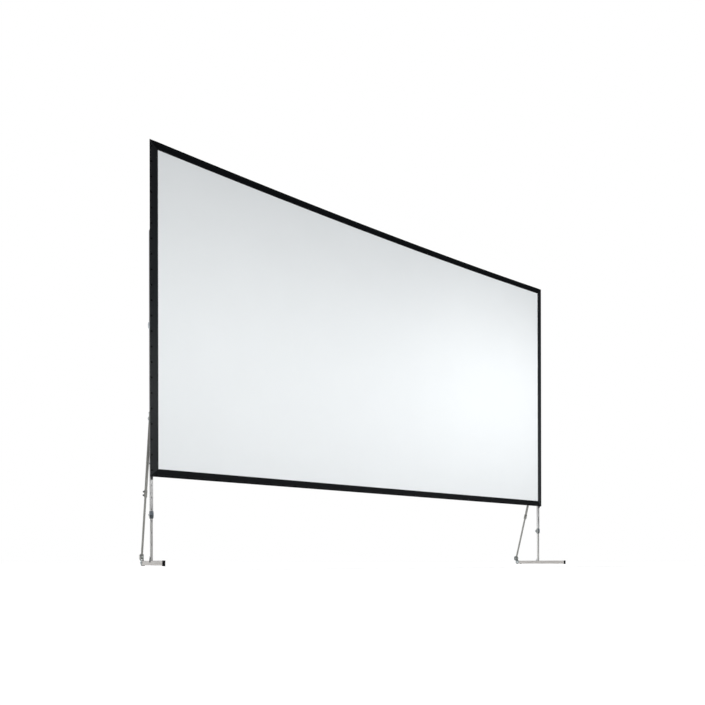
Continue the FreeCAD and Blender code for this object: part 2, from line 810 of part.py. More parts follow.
def foot_cap():
    """A moulded cap on the foot's front end, whose thick sole stands on the floor."""
    side = foot_width / 2 + cap_wall
    body = block(mast_x - side, mast_x + side, foot_front_y, foot_front_y + cap_length,
                 0, foot_top_z + cap_wall)
    body = bevel_edges(body, foot_edge_bevel, Y_AXIS)
    tube_space = block(mast_x - foot_width / 2, mast_x + foot_width / 2, foot_front_y + cap_front,
                       foot_front_y + cap_length + overrun, foot_clearance, foot_top_z)
    plug = block(mast_x - foot_width / 2 + foot_wall, mast_x + foot_width / 2 - foot_wall,
                 foot_front_y + cap_front, foot_front_y + cap_length,
                 foot_clearance + foot_wall, foot_top_z - foot_wall)
    return body.cut(tube_space).fuse(plug)


def foot_pads():
    pads = [flat_rod(pad_radius, point(mast_x, y, 0), point(mast_x, y, foot_clearance), pad_sides)
            for y in (foot_rear_y - pad_from_rear, foot_rear_y - pad_from_rear - pad_spacing)]
    return Part.makeCompound(pads)


def leg_gusset():
    """Two flanges and a web in the rear corner between leg and foot, and a cheek on their outer side."""
    front_y = leg_y + leg_size / 2
    rear_y = front_y + gusset_depth
    top_z = foot_top_z + gusset_height
    flange_y = front_y + gusset_flange
    flange_z = foot_top_z + gusset_flange
    half = gusset_width / 2
    upright = block(mast_x - half, mast_x + half, front_y, flange_y, foot_top_z, top_z)
    level = block(mast_x - half, mast_x + half, front_y, rear_y, foot_top_z, flange_z)
    slope = [(front_y, foot_top_z), (rear_y, foot_top_z), (rear_y, flange_z),
             (flange_y, top_z), (front_y, top_z)]
    web = prism_x(slope, mast_x - gusset_web / 2, mast_x + gusset_web / 2)
    inner_x = mast_x - leg_size / 2
    middle_z = foot_top_z - gusset_cheek_drop
    cheek_outline = [(leg_y, middle_z), (rear_y, middle_z), (rear_y, flange_z), (flange_y, top_z), (leg_y, top_z)]
    cheek = prism_x(cheek_outline, inner_x - gusset_cheek, inner_x)
    lug = block(inner_x - gusset_cheek, mast_x, front_y, flange_y, foot_top_z, top_z)
    return upright.fuse(level).fuse(web).fuse(cheek).fuse(lug).removeSplitter()


def foot_clevis():
    """Two round-headed cheeks beside the foot's rear end, joined by a wall that closes the tube."""
    front = foot_rear_y - clevis_reach
    rear = foot_rear_y + clevis_cheek
    outline = [(front, clevis_lower_z), (rear, clevis_lower_z), (rear, foot_pivot_z),
               (foot_pivot_y - clevis_radius, foot_pivot_z), (front, foot_top_z)]
    inside = foot_width / 2
    body = block(mast_x - inside, mast_x + inside, foot_rear_y, rear, clevis_lower_z, foot_top_z)
    bolt_y = foot_rear_y - clevis_bolt_from_rear
    bolt_z = foot_clearance + foot_height / 2
    for x, away in ((mast_x - inside, -1), (mast_x + inside, 1)):
        ends = sorted((x, x + away * clevis_cheek))
        body = body.fuse(prism_x(outline, *ends))
        disc = flat_rod(clevis_radius, point(ends[0], foot_pivot_y, foot_pivot_z),
                        point(ends[1], foot_pivot_y, foot_pivot_z), hub_sides)
        body = body.fuse(disc)
        bolt_end = point(x + away * (clevis_cheek + clevis_bolt_height), bolt_y, bolt_z)
        body = body.fuse(flat_rod(clevis_bolt_radius, point(x, bolt_y, bolt_z), bolt_end, clevis_bolt_sides))
    start = point(mast_x - foot_width, foot_pivot_y, foot_pivot_z)
    end = point(mast_x + foot_width, foot_pivot_y, foot_pivot_z)
    hole = flat_hole(foot_knob_screw_radius + running_gap, start, end)
    return body.cut(hole).removeSplitter()


def foot_knob():
    seat_x = mast_x - foot_width / 2 - clevis_cheek - seat_gap
    reach = foot_width + 2 * clevis_cheek + seat_gap
    knob = star_knob(foot_knob_radius, foot_knob_thickness, foot_knob_screw_radius, reach)
    return turned_to(knob, -X_AXIS, seat_x, foot_pivot_y, foot_pivot_z)


def side_pieces():
    """Every piece that one leg of the screen has, made for the left side."""
    return {
        "mast": mast(),
        "frame_hook": frame_hook(),
        "frame_clamp": frame_clamp(),
        "frame_clamp_knob": frame_clamp_knob(),
        "height_clamp": height_clamp(),
        "height_clamp_knob": height_clamp_knob(),
        "brace_collar": brace_collar(),
        "brace_upper": brace_upper(),
        "brace_sleeve": brace_sleeve(),
        "brace_thumb_screw_upper": brace_thumb_screw("upper"),
        "brace_thumb_screw_lower": brace_thumb_screw("lower"),
        "brace_lower": brace_lower(),
        "leg_tube": leg_tube(),
        "leg_gusset": leg_gusset(),
        "foot_tube": foot_tube(),
        "foot_cap": foot_cap(),
        "foot_pads": foot_pads(),
        "foot_clevis": foot_clevis(),
        "foot_knob": foot_knob(),
    }


def both_sides(shape):
    return Part.makeCompound([shape, mirrored(shape)])


def all_pieces():
    pieces = {
        "projection_surface": projection_surface(),
        "cloth_border": cloth_border(),
        "stud_posts": stud_posts(),
        "rail_couplers": rail_couplers(),
        "rail_screws": rail_screws(),
        "mast_caps": both_sides(mast_cap()),
        "hook_rivets": both_sides(hook_rivets()),
        "brace_pivot_bolts": both_sides(brace_pivot_bolt()),
    }
    pieces.update(rails())
    pieces.update(corners())
    for name, shape in side_pieces().items():
        pieces[f"{name}_left"] = shape
        pieces[f"{name}_right"] = mirrored(shape)
    return pieces


os.makedirs("parts", exist_ok=True)
for node, shape in all_pieces().items():
    shape.exportStep(os.path.join("parts", node + ".step"))
    print(node, len(shape.Solids), shape.isValid())
print("brace length", round(brace_length, 1), "angle", round(brace_angle, 2))
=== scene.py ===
import json
import math

import bmesh
import bpy
from mathutils import Matrix, Vector


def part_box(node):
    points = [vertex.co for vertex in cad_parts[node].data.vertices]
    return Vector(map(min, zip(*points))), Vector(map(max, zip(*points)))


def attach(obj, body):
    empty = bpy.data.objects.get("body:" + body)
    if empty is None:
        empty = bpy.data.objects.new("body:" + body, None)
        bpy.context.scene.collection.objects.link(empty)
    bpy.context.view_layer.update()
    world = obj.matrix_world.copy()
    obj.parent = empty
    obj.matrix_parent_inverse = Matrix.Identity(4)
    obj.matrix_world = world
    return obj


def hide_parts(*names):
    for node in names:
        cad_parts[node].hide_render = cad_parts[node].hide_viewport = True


# A portable projection screen: its looks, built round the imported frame. Shapes are made in
# millimetres, for the left side where a piece has a twin, and then brought to metres.

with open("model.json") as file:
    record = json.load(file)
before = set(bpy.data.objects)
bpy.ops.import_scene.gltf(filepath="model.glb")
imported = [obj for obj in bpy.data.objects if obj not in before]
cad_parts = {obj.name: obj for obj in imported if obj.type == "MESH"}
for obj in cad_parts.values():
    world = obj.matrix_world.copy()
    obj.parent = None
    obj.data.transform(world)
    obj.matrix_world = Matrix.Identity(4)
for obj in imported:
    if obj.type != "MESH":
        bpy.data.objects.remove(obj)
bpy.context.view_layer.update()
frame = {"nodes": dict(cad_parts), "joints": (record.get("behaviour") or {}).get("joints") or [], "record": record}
bpy.context.scene.view_settings.view_transform = "Standard"

MM = 0.001
MERGE = 0.001
SHARP = math.radians(38)
FULL = 2 * math.pi
UP = Vector((0, 0, 1))
REAR = Vector((0, 1, 0))
OUTER = Vector((-1, 0, 0))

body_of_node = {node: body for body, nodes in frame["record"]["behaviour"]["bodies"].items() for node in nodes}


def corners_of(node):
    """A CAD node's lowest and highest corner, in millimetres."""
    low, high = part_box(node)
    return low / MM, high / MM


def joint_place(name):
    """Where a joint sits, in millimetres."""
    return next(Vector(joint["pos_m"]) for joint in frame["joints"] if joint["name"] == name) / MM


# ---- Places taken from the frame ----

border_low, border_high = corners_of("cloth_border")
image_low, image_high = corners_of("projection_surface")
mast_low, mast_high = corners_of("mast_left")
leg_low, leg_high = corners_of("leg_tube_left")
foot_low, foot_high = corners_of("foot_tube_left")
clamp_low, clamp_high = corners_of("height_clamp_left")
frame_clamp_low, frame_clamp_high = corners_of("frame_clamp_left")
collar_low, collar_high = corners_of("brace_collar_left")
hook_low = corners_of("frame_hook_left")[0]
rail_low, rail_high = corners_of("rail_left_lower")
corner_low, corner_high = corners_of("corner_bottom_left")

mast_x = (mast_low.x + mast_high.x) / 2
mast_y = (mast_low.y + mast_high.y) / 2
mast_half = (mast_high.x - mast_low.x) / 2
leg_half = (leg_high.x - leg_low.x) / 2
foot_half = (foot_high.x - foot_low.x) / 2
rail_front, rail_rear = rail_low.y, rail_high.y
brace_pivot = joint_place("brace_hinge_left")
foot_pivot = joint_place("foot_knob_turn_left")
brace_run = foot_pivot.y - brace_pivot.y
brace_drop = brace_pivot.z - foot_pivot.z
brace_length = math.hypot(brace_run, brace_drop)
brace_tilt = math.atan2(brace_run, brace_drop)
tilt_brace = Matrix.Translation((mast_x, brace_pivot.y, brace_pivot.z)) @ Matrix.Rotation(brace_tilt, 4, "X")


# ---- Finishes ----

def rgba(colour):
    """A colour, or a grey given as one number, with its alpha."""
    return (*colour, 1) if isinstance(colour, tuple) else (colour, colour, colour, 1)


def add_node(tree, kind, **sockets):
    """A shader node. A socket is linked where an output is given, and takes any other value as its own."""
    node = tree.nodes.new("ShaderNode" + kind)
    for name, value in sockets.items():
        socket = node.inputs[name.replace("_", " ")]
        if isinstance(value, bpy.types.NodeSocket):
            tree.links.new(value, socket)
        else:
            socket.default_value = value
    return node


def new_finish(name, metallic, roughness, shine=0.5):
    """A named material with its node tree and its shader."""
    material = bpy.data.materials.new(name)
    material.use_nodes = True
    shader = material.node_tree.nodes["Principled BSDF"]
    for socket, value in (("Metallic", metallic), ("Roughness", roughness), ("Specular IOR Level", shine)):
        shader.inputs[socket].default_value = value
    return material, material.node_tree, shader


def pattern_place(tree, cell, turn=(0, 0, 0), middle=(0, 0, 0)):
    """Object coordinates from a middle, turned and then counted in cells of a size in metres."""
    size = cell if isinstance(cell, tuple) else (cell, cell, cell)
    mapping = add_node(tree, "Mapping", Location=middle, Rotation=turn, Scale=size,
                       Vector=add_node(tree, "TexCoord").outputs["Object"])
    mapping.vector_type = "TEXTURE"
    return mapping.outputs["Vector"]


def mottle(tree, cell, detail=3.0, turn=(0, 0, 0)):
    """Cloudy variation with cells of a size in metres."""
    return add_node(tree, "TexNoise", Scale=1.0, Detail=detail, Vector=pattern_place(tree, cell, turn)).outputs["Fac"]


def threads(tree, cell, direction):
    """Even parallel threads, one to a cell."""
    wave = add_node(tree, "TexWave", Scale=FULL / 20, Distortion=0.0, Vector=pattern_place(tree, cell))
    wave.bands_direction = direction
    return wave.outputs["Fac"]


def mixed(tree, operation, first, second):
    """A pattern put together with another one, or with a number, by a sum or a product."""
    node = add_node(tree, "Math")
    node.operation = operation
    tree.links.new(first, node.inputs[0])
    if isinstance(second, float):
        node.inputs[1].default_value = second
    else:
        tree.links.new(second, node.inputs[1])
    return node.outputs["Value"]


def blended(tree, first, share, second):
    """A share of one pattern, and another one for the rest."""
    return mixed(tree, "ADD", mixed(tree, "MULTIPLY", first, share), mixed(tree, "MULTIPLY", second, 1 - share))


def tone(tree, shader, pattern, dark, light):
    """Colour the shader between two tones by a pattern."""
    ramp = add_node(tree, "ValToRGB", Fac=pattern)
    for element, place, colour in zip(ramp.color_ramp.elements, (0.3, 0.7), (dark, light)):
        element.position = place
        element.color = rgba(colour)
    tree.links.new(ramp.outputs["Color"], shader.inputs["Base Color"])
    return ramp.outputs["Color"]


def gloss(tree, shader, pattern, low, high):
    """Let the roughness wander between two values by a pattern."""
    spread = add_node(tree, "MapRange", Value=pattern, From_Min=0.25, From_Max=0.75, To_Min=low, To_Max=high)
    tree.links.new(spread.outputs["Result"], shader.inputs["Roughness"])


def relief(tree, shader, pattern, height):
    """Raise the surface by a pattern, to a height in metres."""
    bump = add_node(tree, "Bump", Strength=1.0, Distance=height, Height=pattern)
    tree.links.new(bump.outputs["Normal"], shader.inputs["Normal"])


def edge_wear(tree, shader, colour, worn):
    """Lighten rubbed edges: the pointiness of the mesh through a mottle."""
    pointy = add_node(tree, "NewGeometry").outputs["Pointiness"]
    edges = add_node(tree, "MapRange", Value=pointy, From_Min=0.52, From_Max=0.62, To_Max=0.5).outputs["Result"]
    mix = add_node(tree, "Mix")
    mix.data_type = "RGBA"
    factor, first, second = (next(socket for socket in mix.inputs if (socket.name, socket.type) == kind)
                             for kind in (("Factor", "VALUE"), ("A", "RGBA"), ("B", "RGBA")))
    tree.links.new(mixed(tree, "MULTIPLY", edges, mottle(tree, 0.012)), factor)
    tree.links.new(colour, first)
    second.default_value = rgba(worn)
    result = next(socket for socket in mix.outputs if socket.type == "RGBA")
    tree.links.new(result, shader.inputs["Base Color"])


def drawn_metal(name, dark, light, along, rough, metallic=0.9, turn=(0, 0, 0)):
    """Drawn or extruded metal: fine streaks along the bar, and a few cloudy handling marks."""
    material, tree, shader = new_finish(name, metallic, rough[0])
    streaks = mottle(tree, tuple(0.25 if axis == along else 0.0006 for axis in "xyz"), 2.0, turn)
    marks = blended(tree, streaks, 0.6, mottle(tree, 0.09, 4.0))
    tone(tree, shader, marks, dark, light)
    gloss(tree, shader, marks, *rough)
    relief(tree, shader, streaks, 0.00004)
    shader.inputs["Anisotropic"].default_value = 0.3
    return material


def moulded(name, dark, light, rough, worn=None, grain=0.0007, height=0.00006, shine=0.5):
    """Moulded plastic: a fine spark grain, a faint cloud in the colour and rubbed edges."""
    material, tree, shader = new_finish(name, 0.0, rough[0], shine)
    clouds = mottle(tree, 0.02)
    colour = tone(tree, shader, clouds, dark, light)
    if worn:
        edge_wear(tree, shader, colour, worn)
    gloss(tree, shader, clouds, *rough)
    relief(tree, shader, mottle(tree, grain, 1.0), height)
    return material


def plated(name, dark, light, rough, metallic=1.0, cell=0.004, shine=0.5):
    """Plated or painted steel: spangled tones, small pits and rubbed edges."""
    material, tree, shader = new_finish(name, metallic, rough[0], shine)
    spangle = add_node(tree, "TexVoronoi", Scale=1.0, Vector=pattern_place(tree, cell))
    patches = blended(tree, spangle.outputs["Distance"], 0.4, mottle(tree, 0.03))
    colour = tone(tree, shader, patches, dark, light)
    edge_wear(tree, shader, colour, tuple(min(1.0, value * 1.6 + 0.05) for value in light))
    gloss(tree, shader, patches, *rough)
    relief(tree, shader, mottle(tree, 0.0012, 2.0), 0.00003)
    return material


def woven(name, dark, light, rough, cell, height, shine=0.5):
    """Coated cloth: warp and weft under the coating, and broad soft variation."""
    material, tree, shader = new_finish(name, 0.0, rough[0], shine)
    broad, fine = mottle(tree, 0.45), mottle(tree, cell * 3, 2.0)
    tone(tree, shader, blended(tree, broad, 0.7, fine), dark, light)
    gloss(tree, shader, broad, *rough)
    weave = mixed(tree, "MULTIPLY", threads(tree, cell, "X"), threads(tree, cell, "Z"))
    relief(tree, shader, mixed(tree, "ADD", weave, mixed(tree, "MULTIPLY", fine, 0.4)), height)
    return material


surface_finish = woven("surface_coated_cloth", (0.758, 0.786, 0.800), (0.772, 0.800, 0.814), (0.62, 0.72),
                       0.0009, 0.00004)
# One black webbing in two copies: the level strips are coloured darker as painted shade, the upright strips lighter
# and shinier as a painted sheen.
level_border_painted_shade_finish = woven("border_webbing_level_painted_shade", (0.0020, 0.0026, 0.0033), (0.0036, 0.0044, 0.0054), (0.46, 0.58),
                            0.0012, 0.00012, shine=0.08)
upright_border_painted_sheen_finish = woven("border_webbing_upright_painted_sheen", (0.0068, 0.0080, 0.0097), (0.0096, 0.0113, 0.0133),
                              (0.46, 0.58), 0.0012, 0.00012, shine=0.22)
thread_finish = woven("border_thread", (0.006, 0.006, 0.007), (0.012, 0.012, 0.013), (0.5, 0.7), 0.0004, 0.00005)
frame_across_finish, frame_upright_finish = (
    drawn_metal("frame_aluminium_" + name, (0.60, 0.60, 0.61), (0.74, 0.74, 0.75), along, (0.34, 0.46))
    for name, along in (("across", "x"), ("upright", "z")))
mast_finish = drawn_metal("mast_aluminium", 0.45, 0.55, "z", (0.32, 0.44))
leg_finish = drawn_metal("leg_aluminium", (0.44, 0.44, 0.43), (0.55, 0.55, 0.54), "z", (0.32, 0.44))
brace_finish = drawn_metal("brace_aluminium", (0.21, 0.21, 0.20), (0.28, 0.28, 0.265), "z", (0.34, 0.46),
                           turn=(brace_tilt, 0, 0))
foot_finish = drawn_metal("foot_paint", (0.53, 0.51, 0.49), (0.57, 0.55, 0.53), "y", (0.42, 0.50), metallic=0.15)

black_plastic = moulded("black_plastic", (0.010, 0.010, 0.011), (0.018, 0.018, 0.019), (0.38, 0.50), 0.06)
dark_plastic = moulded("dark_plastic", (0.030, 0.038, 0.046), (0.048, 0.060, 0.070), (0.24, 0.34),
                       (0.10, 0.12, 0.13))
# A lighter tone of the same plastic for the height clamp's upper half: a painted highlight.
upper_painted_highlight_plastic = moulded("clamp_upper_painted_highlight_plastic", (0.085, 0.100, 0.120), (0.120, 0.140, 0.165), (0.24, 0.34),
                            (0.22, 0.25, 0.28))
knob_plastic = moulded("knob_pale_plastic", (0.50, 0.485, 0.47), (0.60, 0.585, 0.57), (0.34, 0.46),
                       (0.68, 0.67, 0.66))
side_plastic = moulded("clamp_side_plastic", (0.27, 0.29, 0.28), (0.34, 0.36, 0.35), (0.30, 0.42),
                       (0.45, 0.46, 0.46))
grey_plastic = moulded("grey_plastic", (0.42, 0.46, 0.49), (0.52, 0.56, 0.59), (0.34, 0.46), (0.70, 0.72, 0.74))
black_rubber = moulded("black_rubber", 0.003, 0.006, (0.62, 0.78), grain=0.0011, height=0.0001, shine=0.12)

black_steel = plated("black_steel", (0.012, 0.012, 0.013), (0.022, 0.022, 0.024), (0.36, 0.50), metallic=0.3)
dark_steel = plated("dark_steel", (0.035, 0.035, 0.036), (0.065, 0.065, 0.066), (0.32, 0.46), metallic=0.6)
bracket_steel = plated("bracket_steel", (0.21, 0.225, 0.22), (0.30, 0.32, 0.31), (0.34, 0.46), metallic=0.8)
hub_steel = plated("hub_steel", (0.29, 0.31, 0.295), (0.37, 0.395, 0.375), (0.34, 0.46), metallic=0.6)
cheek_steel = plated("gusset_cheek_steel", (0.010, 0.011, 0.012), (0.018, 0.019, 0.020), (0.50, 0.62), metallic=0.0,
                     shine=0.15)
zinc_steel = plated("zinc_steel", (0.46, 0.49, 0.51), (0.62, 0.65, 0.67), (0.30, 0.44))
clevis_steel = plated("clevis_steel", (0.30, 0.34, 0.35), (0.42, 0.46, 0.47), (0.34, 0.48))
knuckle_steel = plated("knuckle_steel", (0.120, 0.130, 0.130), (0.175, 0.188, 0.188), (0.34, 0.48), metallic=0.8)
nickel = plated("nickel_studs", (0.55, 0.54, 0.52), (0.70, 0.69, 0.66), (0.22, 0.34), cell=0.002)
enamel = plated("black_enamel", (0.0008, 0.0008, 0.001), (0.002, 0.002, 0.0025), (0.40, 0.52), metallic=0.0,
                cell=0.003, shine=0.03)


# ---- Shapes ----

def everything(shape):
    return shape.verts[:] + shape.edges[:] + shape.faces[:]


def closed_up(shape):
    """Merge what meets and turn every face outwards."""
    bmesh.ops.remove_doubles(shape, verts=shape.verts, dist=MERGE)
    bmesh.ops.recalc_face_normals(shape, faces=shape.faces)
    return shape


def sharp_edges(shape, limit=SHARP):
    return [edge for edge in shape.edges if len(edge.link_faces) == 2 and edge.calc_face_angle() > limit]


def level_edges(edges):
    """Those of some edges whose two ends are equally high."""
    return [edge for edge in edges if abs(edge.verts[0].co.z - edge.verts[1].co.z) < MERGE]


def widest_face(shape, axis):
    """The largest face that looks along an axis, given as 0, 1 or 2."""
    return max((face for face in shape.faces if face.normal[axis] > 0.99), key=lambda face: face.calc_area())


def soften(shape, radius, steps=2, edges=None):
    """Round some edges of a shape, or else all its sharp ones."""
    chosen = sharp_edges(shape) if edges is None else edges
    bmesh.ops.bevel(shape, geom=chosen, offset=radius, offset_type="OFFSET", segments=steps, profile=0.5,
                    affect="EDGES", clamp_overlap=True, material=-1)
    return shape


def dished(shape, face, rim, slope, depth):
    """Sink a face inside a flat rim, down a slope."""
    bmesh.ops.inset_region(shape, faces=[face], thickness=rim, use_even_offset=True)
    bmesh.ops.inset_region(shape, faces=[face], thickness=slope, depth=-depth, use_even_offset=True)


def moved(shape, matrix):
    bmesh.ops.transform(shape, matrix=matrix, verts=shape.verts)
    shape.normal_update()
    return shape


def shifted(shape, x, y, z):
    return moved(shape, Matrix.Translation((x, y, z)))


def pointed(shape, axis, x, y, z):
    """Turn a shape made along +Z to an axis and put it in its place."""
    turn = UP.rotation_difference(Vector(axis)).to_matrix().to_4x4()
    return moved(shape, Matrix.Translation((x, y, z)) @ turn)


def finished_as(shape, number):
    """Give a shape's faces the piece's first, second or third finish, as 0, 1 or 2."""
    for face in shape.faces:
        face.material_index = number
    return shape


def joined(*shapes):
    """One shape from several, which are used up."""
    whole = bmesh.new()
    for shape in shapes:
        part = bpy.data.meshes.new("part")
        shape.to_mesh(part)
        whole.from_mesh(part)
        bpy.data.meshes.remove(part)
        shape.free()
    return whole


def mirrored(shape, signs):
    """A copy of the shape with some of its coordinates negated."""
    twin = shape.copy()
    bmesh.ops.scale(twin, vec=signs, verts=twin.verts)
    bmesh.ops.reverse_faces(twin, faces=twin.faces)
    return twin


def other_side(shape):
    """The shape's twin on the other side of the screen."""
    return mirrored(shape, (-1, 1, 1))


def with_twin(shape):
    return joined(other_side(shape), shape)


def block(x0, x1, y0, y1, z0, z1, radius=0.0, steps=2):
    """A box between two corners with rounded edges."""
    shape = bmesh.new()
    size = Matrix.Diagonal((x1 - x0, y1 - y0, z1 - z0, 1))
    middle = Matrix.Translation(((x0 + x1) / 2, (y0 + y1) / 2, (z0 + z1) / 2))
    bmesh.ops.create_cube(shape, size=1.0, matrix=middle @ size)
    if radius:
        soften(shape, radius, steps)
    return shape


ACROSS = {
    "x": lambda a, b, depth: (depth, a, b),
    "y": lambda a, b, depth: (a, depth, b),
    "z": lambda a, b, depth: (a, b, depth),
}


def cut_across(shape, axis, *places):
    """Cut a shape's faces in two where planes across an axis pass them."""
    way = Vector(ACROSS[axis](0, 0, 1))
    for place in places:
        bmesh.ops.bisect_plane(shape, geom=everything(shape), plane_co=way * place, plane_no=way)


def flat_outline(shape, corners, rounds, axis, depth, steps):
    """A flat face whose corners are given across an axis, some of them rounded."""
    points = [shape.verts.new(ACROSS[axis](a, b, depth)) for a, b in corners]
    shape.faces.new(points)
    for vert, radius in zip(points, rounds):
        if radius:
            bmesh.ops.bevel(shape, geom=[vert], offset=radius, offset_type="OFFSET", segments=steps,
                            profile=0.5, affect="VERTICES", clamp_overlap=False, material=-1)


def drawn_out(shape, axis, length):
    """Extrude a flat shape along an axis and close it."""
    made = bmesh.ops.extrude_face_region(shape, geom=shape.faces[:])
    verts = [item for item in made["geom"] if isinstance(item, bmesh.types.BMVert)]
    bmesh.ops.translate(shape, vec=ACROSS[axis](0, 0, length), verts=verts)
    return closed_up(shape)


def plate(corners, axis, low, high, rounds=None, soft=0.0, steps=8):
    """A flat plate of any outline between two depths."""
    shape = bmesh.new()
    flat_outline(shape, corners, rounds or [0] * len(corners), axis, low, steps)
    drawn_out(shape, axis, high - low)
    return soften(shape, soft) if soft else shape


def rectangle(a0, a1, b0, b1):
    return [(a0, b0), (a1, b0), (a1, b1), (a0, b1)]


def hollow_bar(outer, inner, axis, low, high, outer_rounds, inner_round, steps=3):
    """A bar with a square hole all along it. Outer and inner are (a0, a1, b0, b1)."""
    shape = bmesh.new()
    for sides, rounds in ((outer, outer_rounds), (inner, inner_round)):
        rounds = rounds if isinstance(rounds, list) else [rounds] * 4
        flat_outline(shape, rectangle(*sides), rounds, axis, low, steps)
    bmesh.ops.delete(shape, geom=shape.faces[:], context="FACES_ONLY")
    bmesh.ops.bridge_loops(shape, edges=shape.edges[:])
    return drawn_out(shape, axis, high - low)


def square_sides(x, y, half):
    return x - half, x + half, y - half, y + half


def about_mast(half):
    """The sides of a square about the mast's axis."""
    return square_sides(mast_x, mast_y, half)


def turned(profile, steps=32):
    """A round piece about the Z axis. The profile gives (radius, height) from end to end."""
    shape = bmesh.new()
    points = [shape.verts.new((radius, 0, height)) for radius, height in profile]
    edges = [shape.edges.new(pair) for pair in zip(points, points[1:])]
    bmesh.ops.spin(shape, geom=points + edges, cent=(0, 0, 0), axis=UP, angle=FULL, steps=steps, use_merge=True)
    return closed_up(shape)


def row_of(shape, step, count):
    """Repeat a shape in a straight row."""
    bmesh.ops.spin(shape, geom=everything(shape), cent=(0, 0, 0), axis=UP, dvec=step, angle=0.0,
                   steps=count - 1, use_duplicate=True)
    return shape


def hex_head(radius, height, washer):
    """A bolt's six-sided head along +Z with chamfered corners, on a round washer."""
    shape = bmesh.new()
    bmesh.ops.create_circle(shape, cap_ends=True, radius=radius, segments=6)
    drawn_out(shape, "z", height)
    soften(shape, radius * 0.08)
    shifted(shape, 0, 0, 1.2)
    return joined(shape, turned([(0, 0), (washer, 0), (washer, 0.9), (washer - 0.4, 1.2), (0, 1.2)], 28))


def new_piece(name, shape, finishes):
    """An object from a shape, brought to metres."""
    moved(shape, Matrix.Scale(MM, 4))
    mesh = bpy.data.meshes.new(name)
    shape.to_mesh(mesh)
    shape.free()
    mesh.shade_smooth()
    mesh.set_sharp_from_angle(angle=SHARP)
    for finish in finishes:
        mesh.materials.append(finish)
    piece = bpy.data.objects.new(name, mesh)
    bpy.context.scene.collection.objects.link(piece)
    return piece


def make_piece(name, shape, finishes, node):
    """Make the piece that stands for a CAD node and rides with its body."""
    piece = new_piece(name, shape, finishes)
    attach(piece, body_of_node[node])
    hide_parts(node)
    return piece


def make_pair(name, shape, finishes, node):
    """The piece on the left and its twin on the right."""
    twin = other_side(shape)
    make_piece(f"{name}_left", shape, finishes, f"{node}_left")
    make_piece(f"{name}_right", twin, finishes, f"{node}_right")


def add_detail(name, shape, finish):
    """A piece of detail on the cloth that no CAD node has."""
    piece = new_piece(name, shape, [finish])
    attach(piece, "root")
    return piece


# ---- Cloth ----

cloth_thickness = 0.4
cloth_setback = 0.25
cloth_fullness = 1.2
cloth_squares = 96, 54
hem_width, hem_height = 22.0, 0.35
lap_width, lap_height = 4.0, 0.25
layer_overlap = 4.0
layer_root = 0.1
stitch_length, stitch_width, stitch_height = 4.5, 0.9, 0.35
stitch_pitch = 7.0
fold_to_stitch, edge_to_stitch = 3.0, 2.0
border_width = image_low.x - border_low.x
middle_x = (border_low.x + border_high.x) / 2
middle_z = (border_low.z + border_high.z) / 2
top_sag = 36.0
sag_reach = image_high.x - middle_x
sag_cuts = 40


def sagged(shape, cut=False):
    """Let the frame's top hang in its middle, as its weight and the cloth's pull bend it."""
    if cut:
        cut_across(shape, "x", *[middle_x + sag_reach * (2 * step / sag_cuts - 1) for step in range(sag_cuts + 1)])
    for vert in shape.verts:
        across = (vert.co.x - middle_x) / sag_reach
        up = (vert.co.z - border_low.z) / (border_high.z - border_low.z)
        vert.co.z -= top_sag * max(0.0, 1 - across * across) * up
    return shape


def projection_cloth():
    """The white cloth, a shade fuller in its middle than at its edges."""
    shape = bmesh.new()
    bmesh.ops.create_grid(shape, x_segments=cloth_squares[0], y_segments=cloth_squares[1], size=0.5)
    half_x, half_z = (image_high.x - image_low.x) / 2, (image_high.z - image_low.z) / 2
    for vert in shape.verts:
        across, up = 2 * vert.co.x, 2 * vert.co.y
        fullness = cloth_fullness * math.cos(across * math.pi / 2) * math.cos(up * math.pi / 2)
        vert.co = (middle_x + half_x * across, image_low.y + cloth_setback - fullness, middle_z + half_z * up)
    shape.normal_update()
    bmesh.ops.solidify(shape, geom=shape.faces[:], thickness=cloth_thickness)
    bmesh.ops.recalc_face_normals(shape, faces=shape.faces)
    return sagged(shape)


def inset_corners(inset):
    """The corners (x, z) of a rectangle inside the border's outer edge."""
    return rectangle(border_low.x + inset, border_high.x - inset, border_low.z + inset, border_high.z - inset)


def mitred(near, far):
    """The four trapezoids between two insets from the border's outer edge: bottom, right, top, left."""
    outer, inner = inset_corners(near), inset_corners(far)
    return [[outer[i], outer[(i + 1) % 4], inner[(i + 1) % 4], inner[i]] for i in range(4)]


def border_strip(outline, hem_outline, lap_outline):
    """One mitred strip of the border: its folded hem along the outer edge, and its lap over the white cloth."""
    strip = plate(outline, "y", border_low.y, border_high.y, soft=0.25)
    hem = plate(hem_outline, "y", border_low.y - hem_height, border_low.y + layer_root, soft=0.15)
    lap = plate(lap_outline, "y", border_low.y - lap_height, border_low.y + layer_root, soft=0.1)
    return joined(strip, hem, lap)


def border_strips():
    """The level strips in the first finish, coloured darker as painted shade, and the upright ones in the second,
    coloured lighter as a painted sheen.
    """
    strips = zip(mitred(0, border_width), mitred(0, hem_width),
                 mitred(hem_width - layer_overlap, border_width + lap_width), (0, 1, 0, 1))
    return sagged(joined(*[finished_as(border_strip(*outlines), finish) for *outlines, finish in strips]), cut=True)


def stitch_row(start, end, front_y):
    """A straight row of stitches between two places (x, z)."""
    run = Vector((end[0] - start[0], end[1] - start[1]))
    count = int(run.length / stitch_pitch)
    level = abs(run.x) > abs(run.y)
    half_x, half_z = (stitch_length / 2, stitch_width / 2) if level else (stitch_width / 2, stitch_length / 2)
    step = Vector((run.x, 0, run.y)) / count
    first = Vector((start[0], front_y, start[1])) + step / 2
    stitch = block(first.x - half_x, first.x + half_x, front_y - stitch_height, front_y + stitch_height / 2,
                   first.z - half_z, first.z + half_z)
    return row_of(stitch, step, count)


